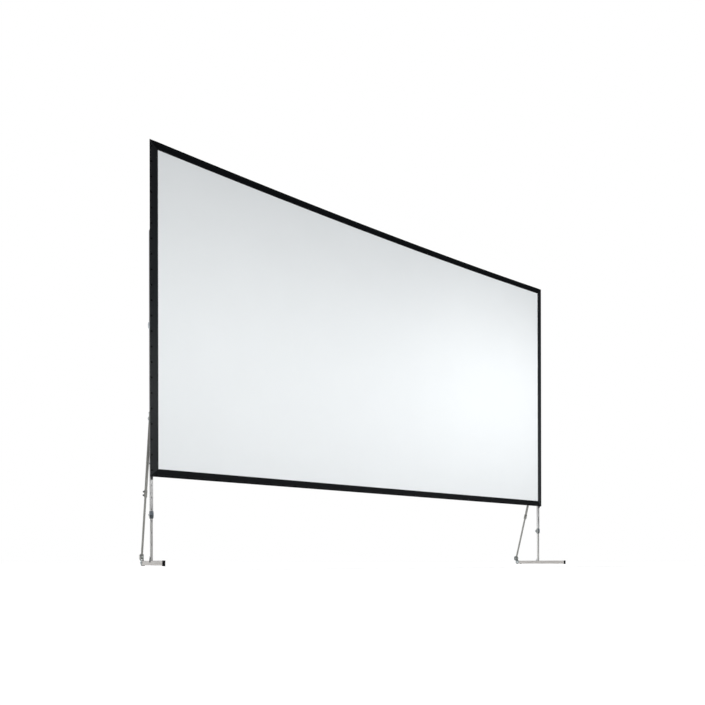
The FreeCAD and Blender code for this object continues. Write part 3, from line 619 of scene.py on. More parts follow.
def stitching():
    """Rows of stitches: one near the hem's fold and one near the border's inner edge."""
    rows = []
    for inset, raised in ((hem_width - fold_to_stitch, hem_height), (border_width - edge_to_stitch, lap_height)):
        corners = inset_corners(inset)
        rows += [stitch_row(corners[i], corners[(i + 1) % 4], border_low.y - raised) for i in range(4)]
    return sagged(joined(*rows))


cloth = make_piece("projection_cloth", projection_cloth(), [surface_finish], "projection_surface")
border = make_piece("border_strips", border_strips(), [level_border_painted_shade_finish, upright_border_painted_sheen_finish], "cloth_border")
stitches = add_detail("border_stitching", stitching(), thread_finish)


# ---- Press studs ----

stud_inset, stud_end = 14.0, 53.0
stud_count_across, stud_count_up = 38, 22
stud_post_radius = 5.0
stud_cap_radius = 7.5


def stud_rows(make_stud):
    """Studs along the four sides of the border."""
    x0, x1, z0, z1 = border_low.x, border_high.x, border_low.z, border_high.z
    step_x = (x1 - x0 - 2 * stud_end) / (stud_count_across - 1)
    step_z = (z1 - z0 - 2 * stud_end) / (stud_count_up - 1)
    rows = [row_of(make_stud(x0 + stud_end, z), (step_x, 0, 0), stud_count_across)
            for z in (z0 + stud_inset, z1 - stud_inset)]
    rows += [row_of(make_stud(x, z0 + stud_end), (0, 0, step_z), stud_count_up)
             for x in (x0 + stud_inset, x1 - stud_inset)]
    return sagged(joined(*rows))


def stud_cap(x, z):
    """A domed cap with a rolled rim."""
    r = stud_cap_radius
    profile = [(r - 0.6, 0), (r, 0.35), (r - 0.25, 0.9), (r - 1.1, 1.05), (r - 2.6, 1.6), (r * 0.3, 2.0), (0, 2.05)]
    return pointed(turned(profile, 14), -REAR, x, border_low.y - hem_height, z)


def stud_socket(x, z):
    """A round socket between the cloth and the rail."""
    r = stud_post_radius
    profile = [(0, 0), (r, 0), (r, 1.0), (r - 1.2, 1.4), (r - 1.2, 3.0), (0, 3.0)]
    return pointed(turned(profile, 12), REAR, x, border_high.y, z)


make_piece("stud_sockets", stud_rows(stud_socket), [nickel], "stud_posts")
stud_caps = add_detail("stud_caps", stud_rows(stud_cap), enamel)


# ---- Frame ----

rail_wall = 2.0
seam_gap = 0.25
pocket_wall, pocket_depth = 4.5, 7.0
spigot_gap = 0.3
level_rails = [f"rail_{side}_{part}" for side in ("top", "bottom") for part in ("left", "middle", "right")]
upright_rails = [f"rail_{side}_{part}" for side in ("left", "right") for part in ("lower", "upper")]


def shrunk(sides, wall):
    """A rectangle (a0, a1, b0, b1) inside another, a wall's thickness away."""
    return sides[0] + wall, sides[1] - wall, sides[2] + wall, sides[3] - wall


def rail_tube(outer, axis, start, end):
    return hollow_bar(outer, shrunk(outer, rail_wall), axis, start + seam_gap, end - seam_gap, 1.8, 0.5)


for node in level_rails:
    low, high = corners_of(node)
    level_tube = sagged(rail_tube((low.y, high.y, low.z, high.z), "x", low.x, high.x), cut=True)
    make_piece(node.replace("rail", "rail_tube"), level_tube, [frame_across_finish], node)
for node in upright_rails:
    low, high = corners_of(node)
    upright_tube = rail_tube((low.x, high.x, low.y, high.y), "z", low.z, high.z)
    make_piece(node.replace("rail", "rail_tube"), upright_tube, [frame_upright_finish], node)


def corner_moulding():
    """A moulded corner with a ribbed pocket at the back and a spigot into each rail."""
    x0, z0 = corner_low.x, corner_low.z
    size = rail_high.x - rail_low.x
    x1, z1 = x0 + size, z0 + size
    body = plate(rectangle(x0, x1, z0, z1), "y", rail_front, rail_rear, rounds=[12, 0, 0, 0], soft=0.9)
    back = widest_face(body, 1)
    bmesh.ops.inset_region(body, faces=[back], thickness=pocket_wall, use_even_offset=True)
    pocket = bmesh.ops.extrude_face_region(body, geom=[back])
    verts = [item for item in pocket["geom"] if isinstance(item, bmesh.types.BMVert)]
    bmesh.ops.translate(body, vec=(0, -pocket_depth, 0), verts=verts)
    bmesh.ops.delete(body, geom=[back], context="FACES")
    middle = (x0 + x1) / 2, (z0 + z1) / 2
    floor_y = rail_rear - pocket_depth - 0.2
    reach = (size / 2 - 4.2) * 1.28
    ribs = []
    for turn in (45, -45):
        rib = block(-reach, reach, floor_y, rail_rear - 1.0, -1.1, 1.1, 0.3)
        around = Matrix.Translation((middle[0], 0, middle[1])) @ Matrix.Rotation(math.radians(turn), 4, "Y")
        ribs.append(moved(rib, around))
    boss = pointed(turned([(0, 0), (7.5, 0), (7.5, 5.6), (7.0, 6.2), (3.4, 6.2), (3.0, 5.6), (3.0, 2.5), (0, 2.5)]),
                   REAR, middle[0], floor_y, middle[1])
    side = rail_wall + spigot_gap
    level = block(x1, corner_high.x, rail_front + side, rail_rear - side, z0 + side, z1 - side, 0.8)
    upright = block(x0 + side, x1 - side, rail_front + side, rail_rear - side, z1, corner_high.z, 0.8)
    return joined(body, *ribs, boss, level, upright)


low_corner = corner_moulding()
high_corner = sagged(shifted(mirrored(low_corner, (1, 1, -1)), 0, 0, 2 * middle_z))
for height, corner in (("top", high_corner), ("bottom", low_corner)):
    make_pair(f"corner_moulding_{height}", corner, [black_plastic], f"corner_{height}")


def cad_shape(node):
    """A merged copy of a CAD node's mesh, in millimetres."""
    shape = bmesh.new()
    shape.from_mesh(frame["nodes"][node].data)
    bmesh.ops.remove_doubles(shape, verts=shape.verts, dist=1e-5)
    return moved(shape, Matrix.Scale(1 / MM, 4))


def screw_places():
    """Where the CAD's screws sit: the middle of each loose part of their mesh, as (x, z)."""
    shape = cad_shape("rail_screws")
    left = set(shape.verts)
    places = []
    while left:
        group, edge = set(), [next(iter(left))]
        while edge:
            vert = edge.pop()
            if vert not in group:
                group.add(vert)
                edge += [link.other_vert(vert) for link in vert.link_edges]
        left -= group
        xs, zs = [vert.co.x for vert in group], [vert.co.z for vert in group]
        places.append(((min(xs) + max(xs)) / 2, (min(zs) + max(zs)) / 2))
    shape.free()
    return sorted(places)


def pan_screw(x, z):
    """A pan-head screw with a round recess, its shank through the rail."""
    r = 5.5
    profile = [(0, -4.8), (3.0, -4.8), (3.0, 0), (r, 0), (r, 0.9), (r - 0.8, 2.0), (r - 2.2, 2.5), (2.0, 2.5),
               (1.7, 1.2), (0, 1.2)]
    return pointed(turned(profile, 20), REAR, x, rail_rear, z)


make_piece("frame_screws", sagged(joined(*[pan_screw(x, z) for x, z in screw_places()])), [zinc_steel], "rail_screws")
make_piece("coupler_tubes", sagged(cad_shape("rail_couplers"), cut=True), [frame_across_finish], "rail_couplers")


# ---- Masts and legs ----

pin_hole_radius = 5.0
pin_hole_pitch = 100.0
first_pin_hole = foot_high.z + 135.0
tube_wall = 2.0
mast_round, leg_round = 1.5, 1.3
cap_height, plug_depth, plug_gap = 3, 18, 0.2


def on_circle(verts, x, z, radius):
    """Spread the corners of a loop evenly round a circle in the X Z plane."""
    around = sorted(verts, key=lambda vert: math.atan2(vert.co.z - z, vert.co.x - x))
    first = math.atan2(around[0].co.z - z, around[0].co.x - x)
    for place, vert in enumerate(around):
        turn = first + FULL * place / len(around)
        vert.co.x, vert.co.z = x + radius * math.cos(turn), z + radius * math.sin(turn)


def front_patches(tube, height):
    """The square patches of a tube's front wall, outside and inside, at a height."""
    for face in tube.faces:
        middle = face.calc_center_median()
        away = math.hypot(middle.x - mast_x, middle.z - height)
        if abs(face.normal.y) > 0.9 and middle.y < mast_y and away < 0.1:
            yield face


def holed_tube(half, low_z, high_z, corner_round, steps):
    """A square tube with round pin holes in its front wall, at some steps above the lowest hole."""
    tube = hollow_bar(about_mast(half), about_mast(half - tube_wall), "z", low_z, high_z, corner_round, 0.5)
    flat_half = half - corner_round
    heights = [first_pin_hole + pin_hole_pitch * step for step in steps]
    for height in heights:
        cut_across(tube, "z", height - flat_half, height + flat_half)
    for height in heights:
        patches = list(front_patches(tube, height))
        bmesh.ops.inset_individual(tube, faces=patches, thickness=flat_half - pin_hole_radius, use_even_offset=True)
        bmesh.ops.delete(tube, geom=patches, context="FACES_ONLY")
        bmesh.ops.subdivide_edges(tube, edges=[edge for edge in tube.edges if edge.is_boundary], cuts=3)
        rims = [edge for edge in tube.edges if edge.is_boundary]
        levels = {}
        for vert in {vert for edge in rims for vert in edge.verts}:
            levels.setdefault(round(vert.co.y, 2), []).append(vert)
        for verts in levels.values():
            on_circle(verts, mast_x, height, pin_hole_radius)
        bmesh.ops.bridge_loops(tube, edges=rims)
    bmesh.ops.recalc_face_normals(tube, faces=tube.faces)
    return tube


mast_tube = holed_tube(mast_half, mast_low.z, mast_high.z, mast_round, (3, 4, 5))
make_pair("mast_tube", mast_tube, [mast_finish], "mast")
inner_leg = holed_tube(leg_half, leg_low.z, leg_high.z, leg_round, range(9))
make_pair("inner_leg", inner_leg, [leg_finish], "leg_tube")


def mast_cap():
    """A push-in cap with a pillowed top."""
    head = block(*about_mast(mast_half), mast_high.z, mast_high.z + cap_height, 1.2, 3)
    plug = block(*about_mast(mast_half - tube_wall - plug_gap), mast_high.z - plug_depth, mast_high.z + 0.5, 0.5)
    return joined(head, plug)


make_piece("mast_end_caps", with_twin(mast_cap()), [black_plastic], "mast_caps")


# ---- Knobs ----

knob_lobes = 6
knob_steps = 72
knob_valley = 0.82
knob_hub_height = 2.0
knob_gap = 0.3


def star_knob(radius, thickness, screw_radius, reach):
    """A moulded star knob along +Z with a dished top and a plugged screw head. Its screw points down."""
    head = bmesh.new()
    bmesh.ops.create_circle(head, cap_ends=True, radius=radius, segments=knob_steps)
    first_lobe = FULL / knob_lobes / 8
    for vert in head.verts:
        turn = math.atan2(vert.co.y, vert.co.x) - first_lobe
        swell = 0.5 + 0.5 * math.cos(knob_lobes * turn)
        vert.co *= knob_valley + (1 - knob_valley) * swell ** 0.8
    drawn_out(head, "z", thickness)
    shifted(head, 0, 0, knob_hub_height)
    soften(head, thickness * 0.16, 3, level_edges(head.edges))
    dished(head, widest_face(head, 2), radius * 0.12, radius * 0.07, thickness * 0.10)
    plug = turned([(0, 0), (radius * 0.34, 0), (radius * 0.34, thickness * 0.12), (radius * 0.27, thickness * 0.2),
                   (0, thickness * 0.22)], 32)
    shifted(plug, 0, 0, knob_hub_height + thickness * 0.9)
    hub = turned([(0, 0), (radius * 0.5, 0), (radius * 0.55, 0.4), (radius * 0.55, knob_hub_height + 0.4),
                  (0, knob_hub_height + 0.4)])
    thread = turned([(0, -reach), (screw_radius - 0.8, -reach), (screw_radius, -reach + 0.8), (screw_radius, 0.5),
                     (0, 0.5)], 24)
    return joined(head, plug, hub, finished_as(thread, 1))


# ---- Height clamp ----

mast_end_wall, leg_end_wall = 0.5, 0.8
clamp_side, clamp_front, clamp_rear = 4.5, 4.5, 5.5
groove_depth = 0.8
groove_edges = -1.6, -0.5, 0.5, 1.6
boss_height = 7.0
knob_seat_y = mast_high.y + boss_height
leg_way = leg_half + 0.4
height_clamp_middle = (clamp_low.z + clamp_high.z) / 2


def height_clamp():
    """An egg-shaped moulding that bulges on all four sides, with a groove round its middle: its upper half is
    coloured lighter than its dark lower half as a painted highlight.
    """
    half = mast_half + mast_end_wall
    middle, tall = height_clamp_middle, (clamp_high.z - clamp_low.z) / 2
    body = hollow_bar(about_mast(half), about_mast(leg_way), "z", clamp_low.z, clamp_high.z, 4.0, 0.6, 4)
    cut_across(body, "z", *[middle - tall * math.cos(math.pi * step / 24) for step in range(1, 24)])
    cut_across(body, "z", *[middle + edge for edge in groove_edges])
    for vert in body.verts:
        x, y = vert.co.x - mast_x, vert.co.y - mast_y
        if max(abs(x), abs(y)) < leg_way + 0.5:
            continue
        above = vert.co.z - middle
        share = math.sqrt(max(0.0, 1 - (above / tall) ** 2))
        end = half if above > 0 else leg_way + leg_end_wall
        dip = groove_depth if abs(above) < 1 else 0
        for axis, away, swell in ((0, x, clamp_side), (1, y, clamp_front if y < 0 else clamp_rear)):
            vert.co[axis] += away / half * (end - half + (mast_half + swell - end) * share - dip)
    body.normal_update()
    rims = [edge for edge in level_edges(sharp_edges(body, math.radians(50)))
            if abs(abs(edge.verts[0].co.z - middle) - tall) < MERGE]
    soften(body, 0.5, 2, rims)
    # The upper half takes the second finish, coloured lighter as a painted highlight; the inner side face takes the
    # third.
    for face in body.faces:
        inner_side = face.normal.x > 0.8 and face.calc_center_median().x > mast_x + leg_way + 0.4
        face.material_index = 2 if inner_side else int(face.calc_center_median().z > middle)
    boss = turned([(0, -4), (12.0, -4), (11.0, -1.5), (10.4, 2), (10.0, boss_height - 0.6), (9.4, boss_height),
                   (0, boss_height)])
    return joined(body, pointed(boss, REAR, mast_x, mast_high.y, middle))


make_pair("height_clamp_body", height_clamp(), [dark_plastic, upper_painted_highlight_plastic, side_plastic], "height_clamp")
height_knob = star_knob(radius=19.0, thickness=10.0, screw_radius=4.0, reach=knob_seat_y - mast_y - leg_half)
pointed(height_knob, REAR, mast_x, knob_seat_y + knob_gap, height_clamp_middle)
make_pair("height_clamp_star", height_knob, [grey_plastic, zinc_steel], "height_clamp_knob")


# ---- Frame clamp ----

frame_clamp_middle = (frame_clamp_low.z + frame_clamp_high.z) / 2
clamp_screw_x = mast_high.x + 11.0
clamp_rib_height = 0.9
clamp_rib_places = -16, -8, 0, 8, 16
button_narrow = 0.58


def frame_clamp():
    """A moulded block round the mast, with ribs and an oval button on its outer side."""
    low, high = frame_clamp_low, frame_clamp_high
    face_x = low.x + clamp_rib_height
    mast_sides = mast_low.x, mast_high.x, mast_low.y, mast_high.y
    body = hollow_bar((face_x, high.x, low.y, high.y), mast_sides, "z", low.z, high.z, [1.5, 1.5, 8, 8], 0.8, 5)
    soften(body, 1.4, 3, level_edges(sharp_edges(body)))
    ribs = [block(low.x, face_x + 1.0, mast_y - 10, mast_y + 10, frame_clamp_middle + z - 1.5,
                  frame_clamp_middle + z + 1.5, 0.6) for z in clamp_rib_places]
    button = turned([(0, -1), (27, -1), (28, 1), (27.6, 3.2), (25, 5.4), (20, 6.6), (11, 7.0), (10, 6.2), (0, 6.2)],
                    48)
    moved(button, Matrix.Diagonal((1, button_narrow, 1, 1)))
    return joined(body, *ribs, pointed(button, OUTER, face_x, mast_y, frame_clamp_middle))


make_pair("frame_clamp_body", frame_clamp(), [grey_plastic], "frame_clamp")
frame_knob = star_knob(radius=20.0, thickness=13.0, screw_radius=4.0,
                       reach=frame_clamp_high.y - rail_rear + rail_wall + 4.3)
pointed(frame_knob, REAR, clamp_screw_x, frame_clamp_high.y + knob_gap, frame_clamp_middle)
make_pair("frame_clamp_star", frame_knob, [dark_plastic, zinc_steel], "frame_clamp_knob")


# ---- Frame hook ----

rivet_z = border_low.z + 114.0
tongue_half = 9
shelf_depth = 14
shelf_thickness = 3
yoke_wall = 2
yoke_half = 15


def frame_hook():
    """A tongue between mast and rail with a shelf under the rail, and a yoke with cheeks beside the mast."""
    top_z, shelf_z, shelf_y = rivet_z + yoke_half + 1, corner_low.z, rail_rear - shelf_depth
    low, high = rivet_z - yoke_half, rivet_z + yoke_half
    outline = [(mast_low.y, hook_low.z), (mast_low.y, top_z), (rail_rear, top_z), (rail_rear, shelf_z),
               (shelf_y, shelf_z), (shelf_y, shelf_z - shelf_thickness), (rail_rear, hook_low.z)]
    tongue = plate(outline, "x", mast_x - tongue_half, mast_x + tongue_half, soft=0.7)
    cheeks = []
    for away in (-1, 1):
        inner, outer = sorted((mast_x + away * mast_half, mast_x + away * (mast_half + yoke_wall)))
        cheeks.append(plate(rectangle(rail_rear, mast_high.y - 1.2, low, high), "x", inner, outer,
                            rounds=[0, 7, 7, 0], soft=0.5))
    yoke_side = mast_half + yoke_wall
    web = block(mast_x - yoke_side, mast_x + yoke_side, rail_rear, mast_low.y, low, high, 0.5)
    return joined(tongue, finished_as(joined(web, *cheeks), 1))


def hook_rivet(away):
    profile = [(0, -4.0), (3.0, -4.0), (3.0, 0), (6.0, 0), (5.8, 1.0), (4.6, 2.2), (2.4, 2.9), (0, 3.0)]
    return pointed(turned(profile, 24), (away, 0, 0), mast_x + away * (mast_half + yoke_wall), mast_y, rivet_z)


make_pair("frame_hook_plate", frame_hook(), [black_steel, zinc_steel], "frame_hook")
make_piece("hook_rivet_heads", with_twin(joined(hook_rivet(-1), hook_rivet(1))), [dark_steel], "hook_rivets")


# ---- Brace collar and pivot bolt ----

collar_wall = 2.5
lip_height = 12
lip_wall = 1.5
ear_inside = 10.4
ear_thickness = 4.0
ear_radius = 13
bolt_radius = 4
bolt_head = 7.5, 3.8, 8.2


def brace_collar():
    """A folded steel collar with a lip at each end, and two ears for the brace."""
    half = mast_half + collar_wall
    inner = about_mast(mast_half)
    body = hollow_bar(about_mast(half), inner, "z", collar_low.z, collar_high.z, 1.8, 0.6)
    around = mast_x - half - lip_wall, mast_x + half + lip_wall, mast_y - half, mast_y + half + lip_wall
    lips = []
    for low in (collar_low.z, collar_high.z - lip_height):
        lip = hollow_bar(around, inner, "z", low, low + lip_height, 2.4, 0.6)
        lips.append(soften(lip, 0.7, 2, level_edges(sharp_edges(lip))))
    outline = rectangle(mast_high.y + 0.5, brace_pivot.y + ear_radius, brace_pivot.z - ear_radius,
                        brace_pivot.z + ear_radius)
    rounds = [0, ear_radius - 0.01, ear_radius - 0.01, 0]
    ears = [plate(outline, "x", mast_x + start, mast_x + start + ear_thickness, rounds, 0.6)
            for start in (-ear_inside - ear_thickness, ear_inside)]
    return joined(body, *lips, *ears)


def pivot_bolt():
    """A bolt through both ears, with a head at one end and a nut at the other."""
    side = ear_inside + ear_thickness
    r = bolt_radius
    shank = turned([(0, -side), (r, -side), (r, side + 5.6), (r - 0.6, side + 6.2), (0, side + 6.2)], 24)
    head = pointed(hex_head(*bolt_head), -UP, 0, 0, -side)
    nut = shifted(hex_head(*bolt_head), 0, 0, side)
    return pointed(joined(shank, head, nut), (1, 0, 0), mast_x, brace_pivot.y, brace_pivot.z)


make_pair("brace_collar_body", brace_collar(), [bracket_steel], "brace_collar")
make_piece("pivot_bolts", with_twin(pivot_bolt()), [zinc_steel], "brace_pivot_bolts")


# ---- Brace ----

outer_brace_half = 10.0
outer_brace_length = 672.0
outer_brace_above = 11.0
inner_brace_half = 8.0
inner_brace_start = 280.0
brace_wall = 1.5
sleeve_half = outer_brace_half + 1.8
sleeve_low = -outer_brace_length - 2.5
sleeve_high = sleeve_low + 62.0
hub_radius = 21.0
hub_half = foot_half - 0.5
slot_half = 7.0
thumb_radius, thumb_thickness, thumb_neck = 7.5, 9, 2
thumb_places = {"upper": 45, "lower": 14}


def brace_tube(half, inner_half, low, high, outer_round, inner_round):
    """A square tube along the brace, still upright, with its heights counted from the brace's upper pivot."""
    return hollow_bar(square_sides(0, 0, half), square_sides(0, 0, inner_half), "z", low, high, outer_round,
                      inner_round)


def outer_brace():
    tube = brace_tube(outer_brace_half, outer_brace_half - brace_wall, -outer_brace_length, outer_brace_above, 1.3,
                      0.5)
    return moved(tube, tilt_brace)


def brace_sleeve():
    """A moulded sleeve with a lip at its lower end that guides the inner tube."""
    body = brace_tube(sleeve_half, outer_brace_half, -outer_brace_length, sleeve_high, 1.7, 0.5)
    lip = brace_tube(sleeve_half, inner_brace_half + 0.4, sleeve_low, -outer_brace_length, 1.7, 0.5)
    for shape, end in ((body, sleeve_high), (lip, sleeve_low)):
        rims = [edge for edge in sharp_edges(shape) if all(abs(vert.co.z - end) < MERGE for vert in edge.verts)
                and max(abs(edge.verts[0].co.x), abs(edge.verts[0].co.y)) > sleeve_half - 1.2]
        soften(shape, 0.6, 2, rims)
    return moved(joined(body, lip), tilt_brace)


def thumb_screw(drop):
    """A knurled round head on a neck, its shank through the sleeve."""
    head = bmesh.new()
    bmesh.ops.create_circle(head, cap_ends=True, radius=thumb_radius, segments=48)
    for vert in list(head.verts)[::2]:
        vert.co *= 0.94
    drawn_out(head, "z", thumb_thickness)
    soften(head, 0.7, 2, level_edges(head.edges))
    shifted(head, 0, 0, thumb_neck)
    dished(head, widest_face(head, 2), 1.0, 0.5, 0.7)
    neck = turned([(0, 0), (5, 0), (5, 1.6), (4.4, thumb_neck + 0.2), (0, thumb_neck + 0.2)], 24)
    shank = turned([(0, -5), (2.4, -5), (3, -4.4), (3, 0.5), (0, 0.5)], 20)
    return moved(pointed(joined(head, neck, shank), OUTER, -sleeve_half - knob_gap, 0, -drop), tilt_brace)


def hub_disc():
    """A disc across the brace with a round seat and a slot to the rear for the foot knob's screw."""
    shape = bmesh.new()
    bmesh.ops.create_circle(shape, cap_ends=False, radius=hub_radius, segments=72)
    bmesh.ops.create_circle(shape, cap_ends=False, radius=slot_half, segments=36)
    rim_gap = [vert for vert in shape.verts if vert.co.x > 0 and abs(vert.co.y) < slot_half - 0.5
               and vert.co.length > slot_half + 1]
    seat_gap = [vert for vert in shape.verts if vert.co.x > 0.5 and vert.co.length < slot_half + 1]
    bmesh.ops.delete(shape, geom=rim_gap + seat_gap, context="VERTS")
    ends = sorted((vert for vert in shape.verts if len(vert.link_edges) == 1), key=lambda vert: vert.co.y)
    for pair in (ends[:2], ends[2:]):
        shape.edges.new(pair)
    bmesh.ops.contextual_create(shape, geom=shape.edges[:])
    drawn_out(shape, "z", 2 * hub_half)
    soften(shape, 0.9, 2, level_edges(sharp_edges(shape)))
    around = Matrix(((0, 0, 1, -hub_half), (1, 0, 0, 0), (0, 1, 0, -brace_length), (0, 0, 0, 1)))
    return moved(shape, around)


def inner_brace():
    tube = brace_tube(inner_brace_half, inner_brace_half - brace_wall, hub_radius * 0.7 - brace_length,
                      -inner_brace_start, 1.2, 0.4)
    return moved(joined(tube, finished_as(hub_disc(), 1)), tilt_brace)


make_pair("outer_brace", outer_brace(), [brace_finish], "brace_upper")
make_pair("brace_sleeve_body", brace_sleeve(), [brace_finish], "brace_sleeve")
for place, above_end in thumb_places.items():
    screw = thumb_screw(outer_brace_length - above_end)
    make_pair(f"thumb_screw_{place}", screw, [dark_steel], f"brace_thumb_screw_{place}")
make_pair("inner_brace", inner_brace(), [brace_finish, hub_steel], "brace_lower")


# ---- Foot ----

cap_low, cap_high = corners_of("foot_cap_left")
pads_low, pads_high = corners_of("foot_pads_left")
foot_sides = mast_x - foot_half, mast_x + foot_half, foot_low.z, foot_high.z
cap_sole = 3
pad_radius = 11.0
gusset_half, gusset_wall = 9, 3
gusset_deep, gusset_tall = 27, 40
web_half = 2.5
cheek_wall, cheek_drop = 2, 14
clevis_cheek = 3.0
clevis_radius = 30.0
clevis_front, clevis_rear = 18.0, 26.0
clevis_low, clevis_reach, clevis_seat = 10, 45, 6
clevis_bolt_back = 22


def foot_cap():
    """A moulded cap with a thick sole, a rim round the tube and a shallow panel in front."""
    sleeve = hollow_bar((cap_low.x, cap_high.x, cap_low.z, cap_high.z), foot_sides, "y", cap_low.y + cap_sole,
                        cap_high.y, 2.2, 0.8)
    front = block(cap_low.x, cap_high.x, cap_low.y, cap_low.y + cap_sole, cap_low.z, cap_high.z, 0.9, 3)
    dished(front, min(front.faces, key=lambda face: face.calc_center_median().y), 2.5, 0.5, 0.5)
    return joined(sleeve, front)


def foot_pads():
    """Two round rubber pads with a ribbed edge."""
    r = pad_radius
    profile = [(0, 0), (r - 1.2, 0), (r - 0.4, 0.5), (r, 1.4), (r - 0.5, 2.2), (r - 0.1, 3.0), (r - 0.6, 4.6),
               (r - 1.2, 5.0), (0, 5.0)]
    return joined(*[shifted(turned(profile, 36), mast_x, y, 0) for y in (pads_low.y + r, pads_high.y - r)])


def leg_gusset():
    """Two flanges and a web in the rear corner between leg and foot, and a dark cheek on their outer side."""
    front_y, low_z = mast_y + leg_half, foot_high.z
    rear_y, high_z = front_y + gusset_deep, low_z + gusset_tall
    left, right = mast_x - gusset_half, mast_x + gusset_half
    upright = block(left, right, front_y, front_y + gusset_wall, low_z, high_z, 0.7)
    level = block(left, right, front_y, rear_y, low_z, low_z + gusset_wall, 0.7)
    slope = [(front_y + 1, low_z + 1), (rear_y, low_z + 1), (rear_y, low_z + gusset_wall),
             (front_y + gusset_wall, high_z), (front_y + 1, high_z)]
    web = plate(slope, "x", mast_x - web_half, mast_x + web_half, soft=0.6)
    side = mast_x - leg_half
    lug = block(side - cheek_wall, mast_x, front_y, front_y + gusset_wall, low_z, high_z, 0.7)
    start_y, end_y, top_z = mast_y - leg_half + 1, rear_y - 12, high_z - 9
    outline = [(start_y, low_z - cheek_drop), (end_y, low_z - cheek_drop), (end_y, low_z + gusset_wall),
               (front_y, top_z), (start_y, top_z)]
    cheek = plate(outline, "x", side - cheek_wall, side, rounds=[2, 2, 3, 3, 2], soft=0.5)
    return joined(upright, level, web, lug, finished_as(cheek, 1))


def foot_clevis():
    """Two round-headed cheeks beside the foot, a wall behind it, a seat on it and a bolt in each side."""
    front, rear = foot_high.y - clevis_reach, foot_high.y + clevis_cheek
    far, near = foot_pivot.y + clevis_rear, foot_pivot.y - clevis_front
    low, high = foot_pivot.z - clevis_radius, foot_pivot.z + clevis_radius
    outline = [(front, clevis_low), (rear, clevis_low), (rear, low), (far, low), (far, high), (near, high),
               (near, foot_high.z + clevis_seat), (front, foot_high.z - 3)]
    left, right = mast_x - foot_half, mast_x + foot_half
    parts = [block(left, right, foot_high.y, rear, clevis_low, foot_high.z, 0.4),
             block(left, right, near + 1, rear, foot_high.z - 0.5, foot_high.z + clevis_seat, 0.8)]
    bolts = []
    for away in (-1, 1):
        inner, outer = mast_x + away * foot_half, mast_x + away * (foot_half + clevis_cheek)
        cheek = plate(outline, "x", *sorted((inner, outer)), rounds=[3, 3, 0, 20, 21.9, 21.9, 0, 4], soft=0.7,
                      steps=12)
        cut_across(cheek, "z", foot_high.z)
        parts.append(cheek)
        bolt = pointed(hex_head(8.0, 4.6, 9.5), (away, 0, 0), outer, foot_high.y - clevis_bolt_back,
                       (foot_low.z + foot_high.z) / 2)
        bolts.append(finished_as(bolt, 1))
    bracket = joined(*parts)
    for face in bracket.faces:
        face.material_index = 2 if face.calc_center_median().z < foot_high.z - 1 else 0
    return joined(bracket, *bolts)


foot_tube = hollow_bar(foot_sides, shrunk(foot_sides, tube_wall), "y", foot_low.y, foot_high.y, 1.6, 0.5)
make_pair("foot_bar", foot_tube, [foot_finish], "foot_tube")
make_pair("foot_front_cap", foot_cap(), [black_rubber], "foot_cap")
make_pair("foot_rear_pads", foot_pads(), [black_rubber], "foot_pads")
make_pair("leg_gusset_plate", leg_gusset(), [zinc_steel, cheek_steel], "leg_gusset")
make_pair("foot_clevis_body", foot_clevis(), [knuckle_steel, zinc_steel, clevis_steel], "foot_clevis")
foot_knob = star_knob(radius=21.0, thickness=5.0, screw_radius=5.0,
                      reach=2 * foot_half + 2 * clevis_cheek + knob_gap)
pointed(foot_knob, OUTER, mast_x - foot_half - clevis_cheek - knob_gap, foot_pivot.y, foot_pivot.z)
make_pair("foot_knob_star", foot_knob, [knob_plastic, zinc_steel], "foot_knob")


# ---- Studio ----

floor_reach = 40.0


def studio_floor():
    """A pale floor that glows a little more towards its far edges."""
    shape = bmesh.new()
    bmesh.ops.create_grid(shape, x_segments=1, y_segments=1, size=floor_reach / MM)
    material, tree, shader = new_finish("studio_floor", 0.0, 1.0, 0.0)
    tone(tree, shader, mottle(tree, 2.0), 0.86, 0.88)
    shader.inputs["Emission Color"].default_value = rgba(1)
    from_middle = add_node(tree, "VectorMath")
    from_middle.operation = "LENGTH"
    tree.links.new(pattern_place(tree, (4.6, 1.9, 1.0), middle=(0.1, -0.9, 0.0)), from_middle.inputs[0])
    glow = add_node(tree, "MapRange", Value=from_middle.outputs["Value"], From_Min=0.4, From_Max=1.7,
                    To_Min=0.70, To_Max=0.95)
    glow.interpolation_type = "SMOOTHSTEP"
    tree.links.new(glow.outputs["Result"], shader.inputs["Emission Strength"])
    new_piece("studio_floor", shape, [material])


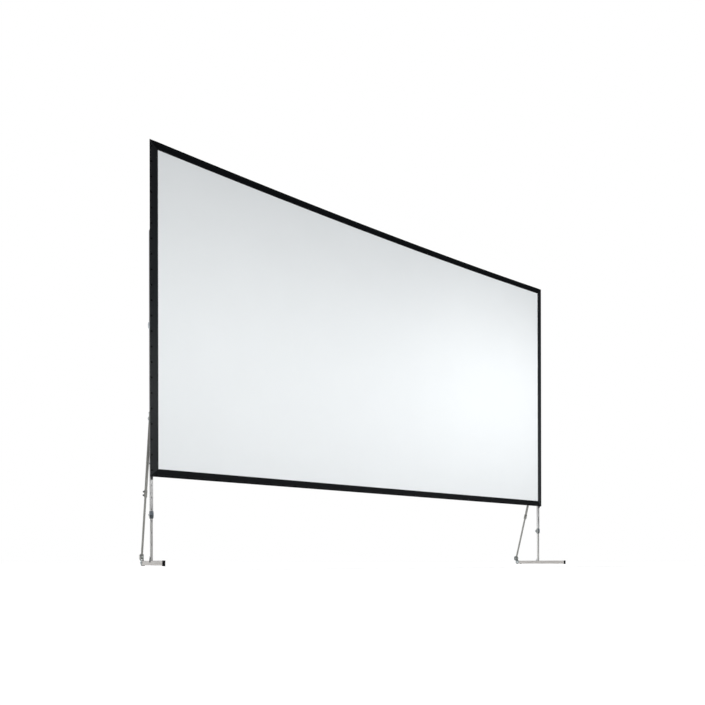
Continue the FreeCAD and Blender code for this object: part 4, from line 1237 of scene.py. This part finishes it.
def studio_world():
    """White behind the object. Its light comes mostly from low down in the room."""
    world = bpy.data.worlds.new("studio")
    bpy.context.scene.world = world
    world.use_nodes = True
    tree = world.node_tree
    tree.nodes.clear()
    height = add_node(tree, "SeparateXYZ", Vector=add_node(tree, "TexCoord").outputs["Generated"])
    ramp = add_node(tree, "ValToRGB", Fac=height.outputs["Z"])
    for element, place, grey in zip(ramp.color_ramp.elements, (0.0, 0.6), (0.17, 0.08)):
        element.position = place
        element.color = rgba(grey)
    mix = add_node(tree, "MixShader", Fac=add_node(tree, "LightPath").outputs["Is Camera Ray"])
    lighting = add_node(tree, "Background", Color=ramp.outputs["Color"])
    seen = add_node(tree, "Background", Color=rgba(1))
    tree.links.new(lighting.outputs["Background"], mix.inputs[1])
    tree.links.new(seen.outputs["Background"], mix.inputs[2])
    add_node(tree, "OutputWorld", Surface=mix.outputs["Shader"])


def soft_light(name, place, target, size, power, spread=180):
    lamp = bpy.data.lights.new(name, "AREA")
    lamp.shape = "RECTANGLE"
    lamp.size, lamp.size_y = size
    lamp.energy = power
    lamp.spread = math.radians(spread)
    light = bpy.data.objects.new(name, lamp)
    light.location = place
    light.rotation_euler = (Vector(target) - Vector(place)).to_track_quat("-Z", "Y").to_euler()
    light.visible_camera = False
    bpy.context.scene.collection.objects.link(light)


studio_floor()
studio_world()
soft_light("front_strip", (0.1, -2.6, 1.85), (0.1, 0.0, 1.85), (8.6, 1.0), 80)
soft_light("right_fill", (1.9, -1.7, 2.4), (1.9, 0.0, 2.4), (2.0, 0.5), 8)
soft_light("right_leg_fill", (0.95, 1.40, 0.45), (2.45, 0.15, 0.45), (0.8, 0.9), 0.6, spread=60)
soft_light("left_leg_fill", (-3.1, 3.0, 0.6), (-2.46, 0.13, 0.5), (0.8, 1.4), 0.4, spread=40)
soft_light("side_left", (-6.0, 0.7, 1.8), (-2.4, 0.3, 1.0), (2.5, 3.0), 34)

photo_width = 705
focal_pixels = 566.956
sensor_width = 36.0
camera_data = bpy.data.cameras.new("photograph")
camera_data.sensor_width = sensor_width
camera_data.lens = focal_pixels / photo_width * sensor_width
camera_data.shift_y = 0.2973
camera_data.clip_end = 200.0
camera = bpy.data.objects.new("photograph", camera_data)
camera.location = (-3.5846, -4.9453, 0.0303)
camera.rotation_euler = (math.radians(90), math.radians(0.109), math.radians(-32.4701))
bpy.context.scene.collection.objects.link(camera)
bpy.context.scene.camera = camera
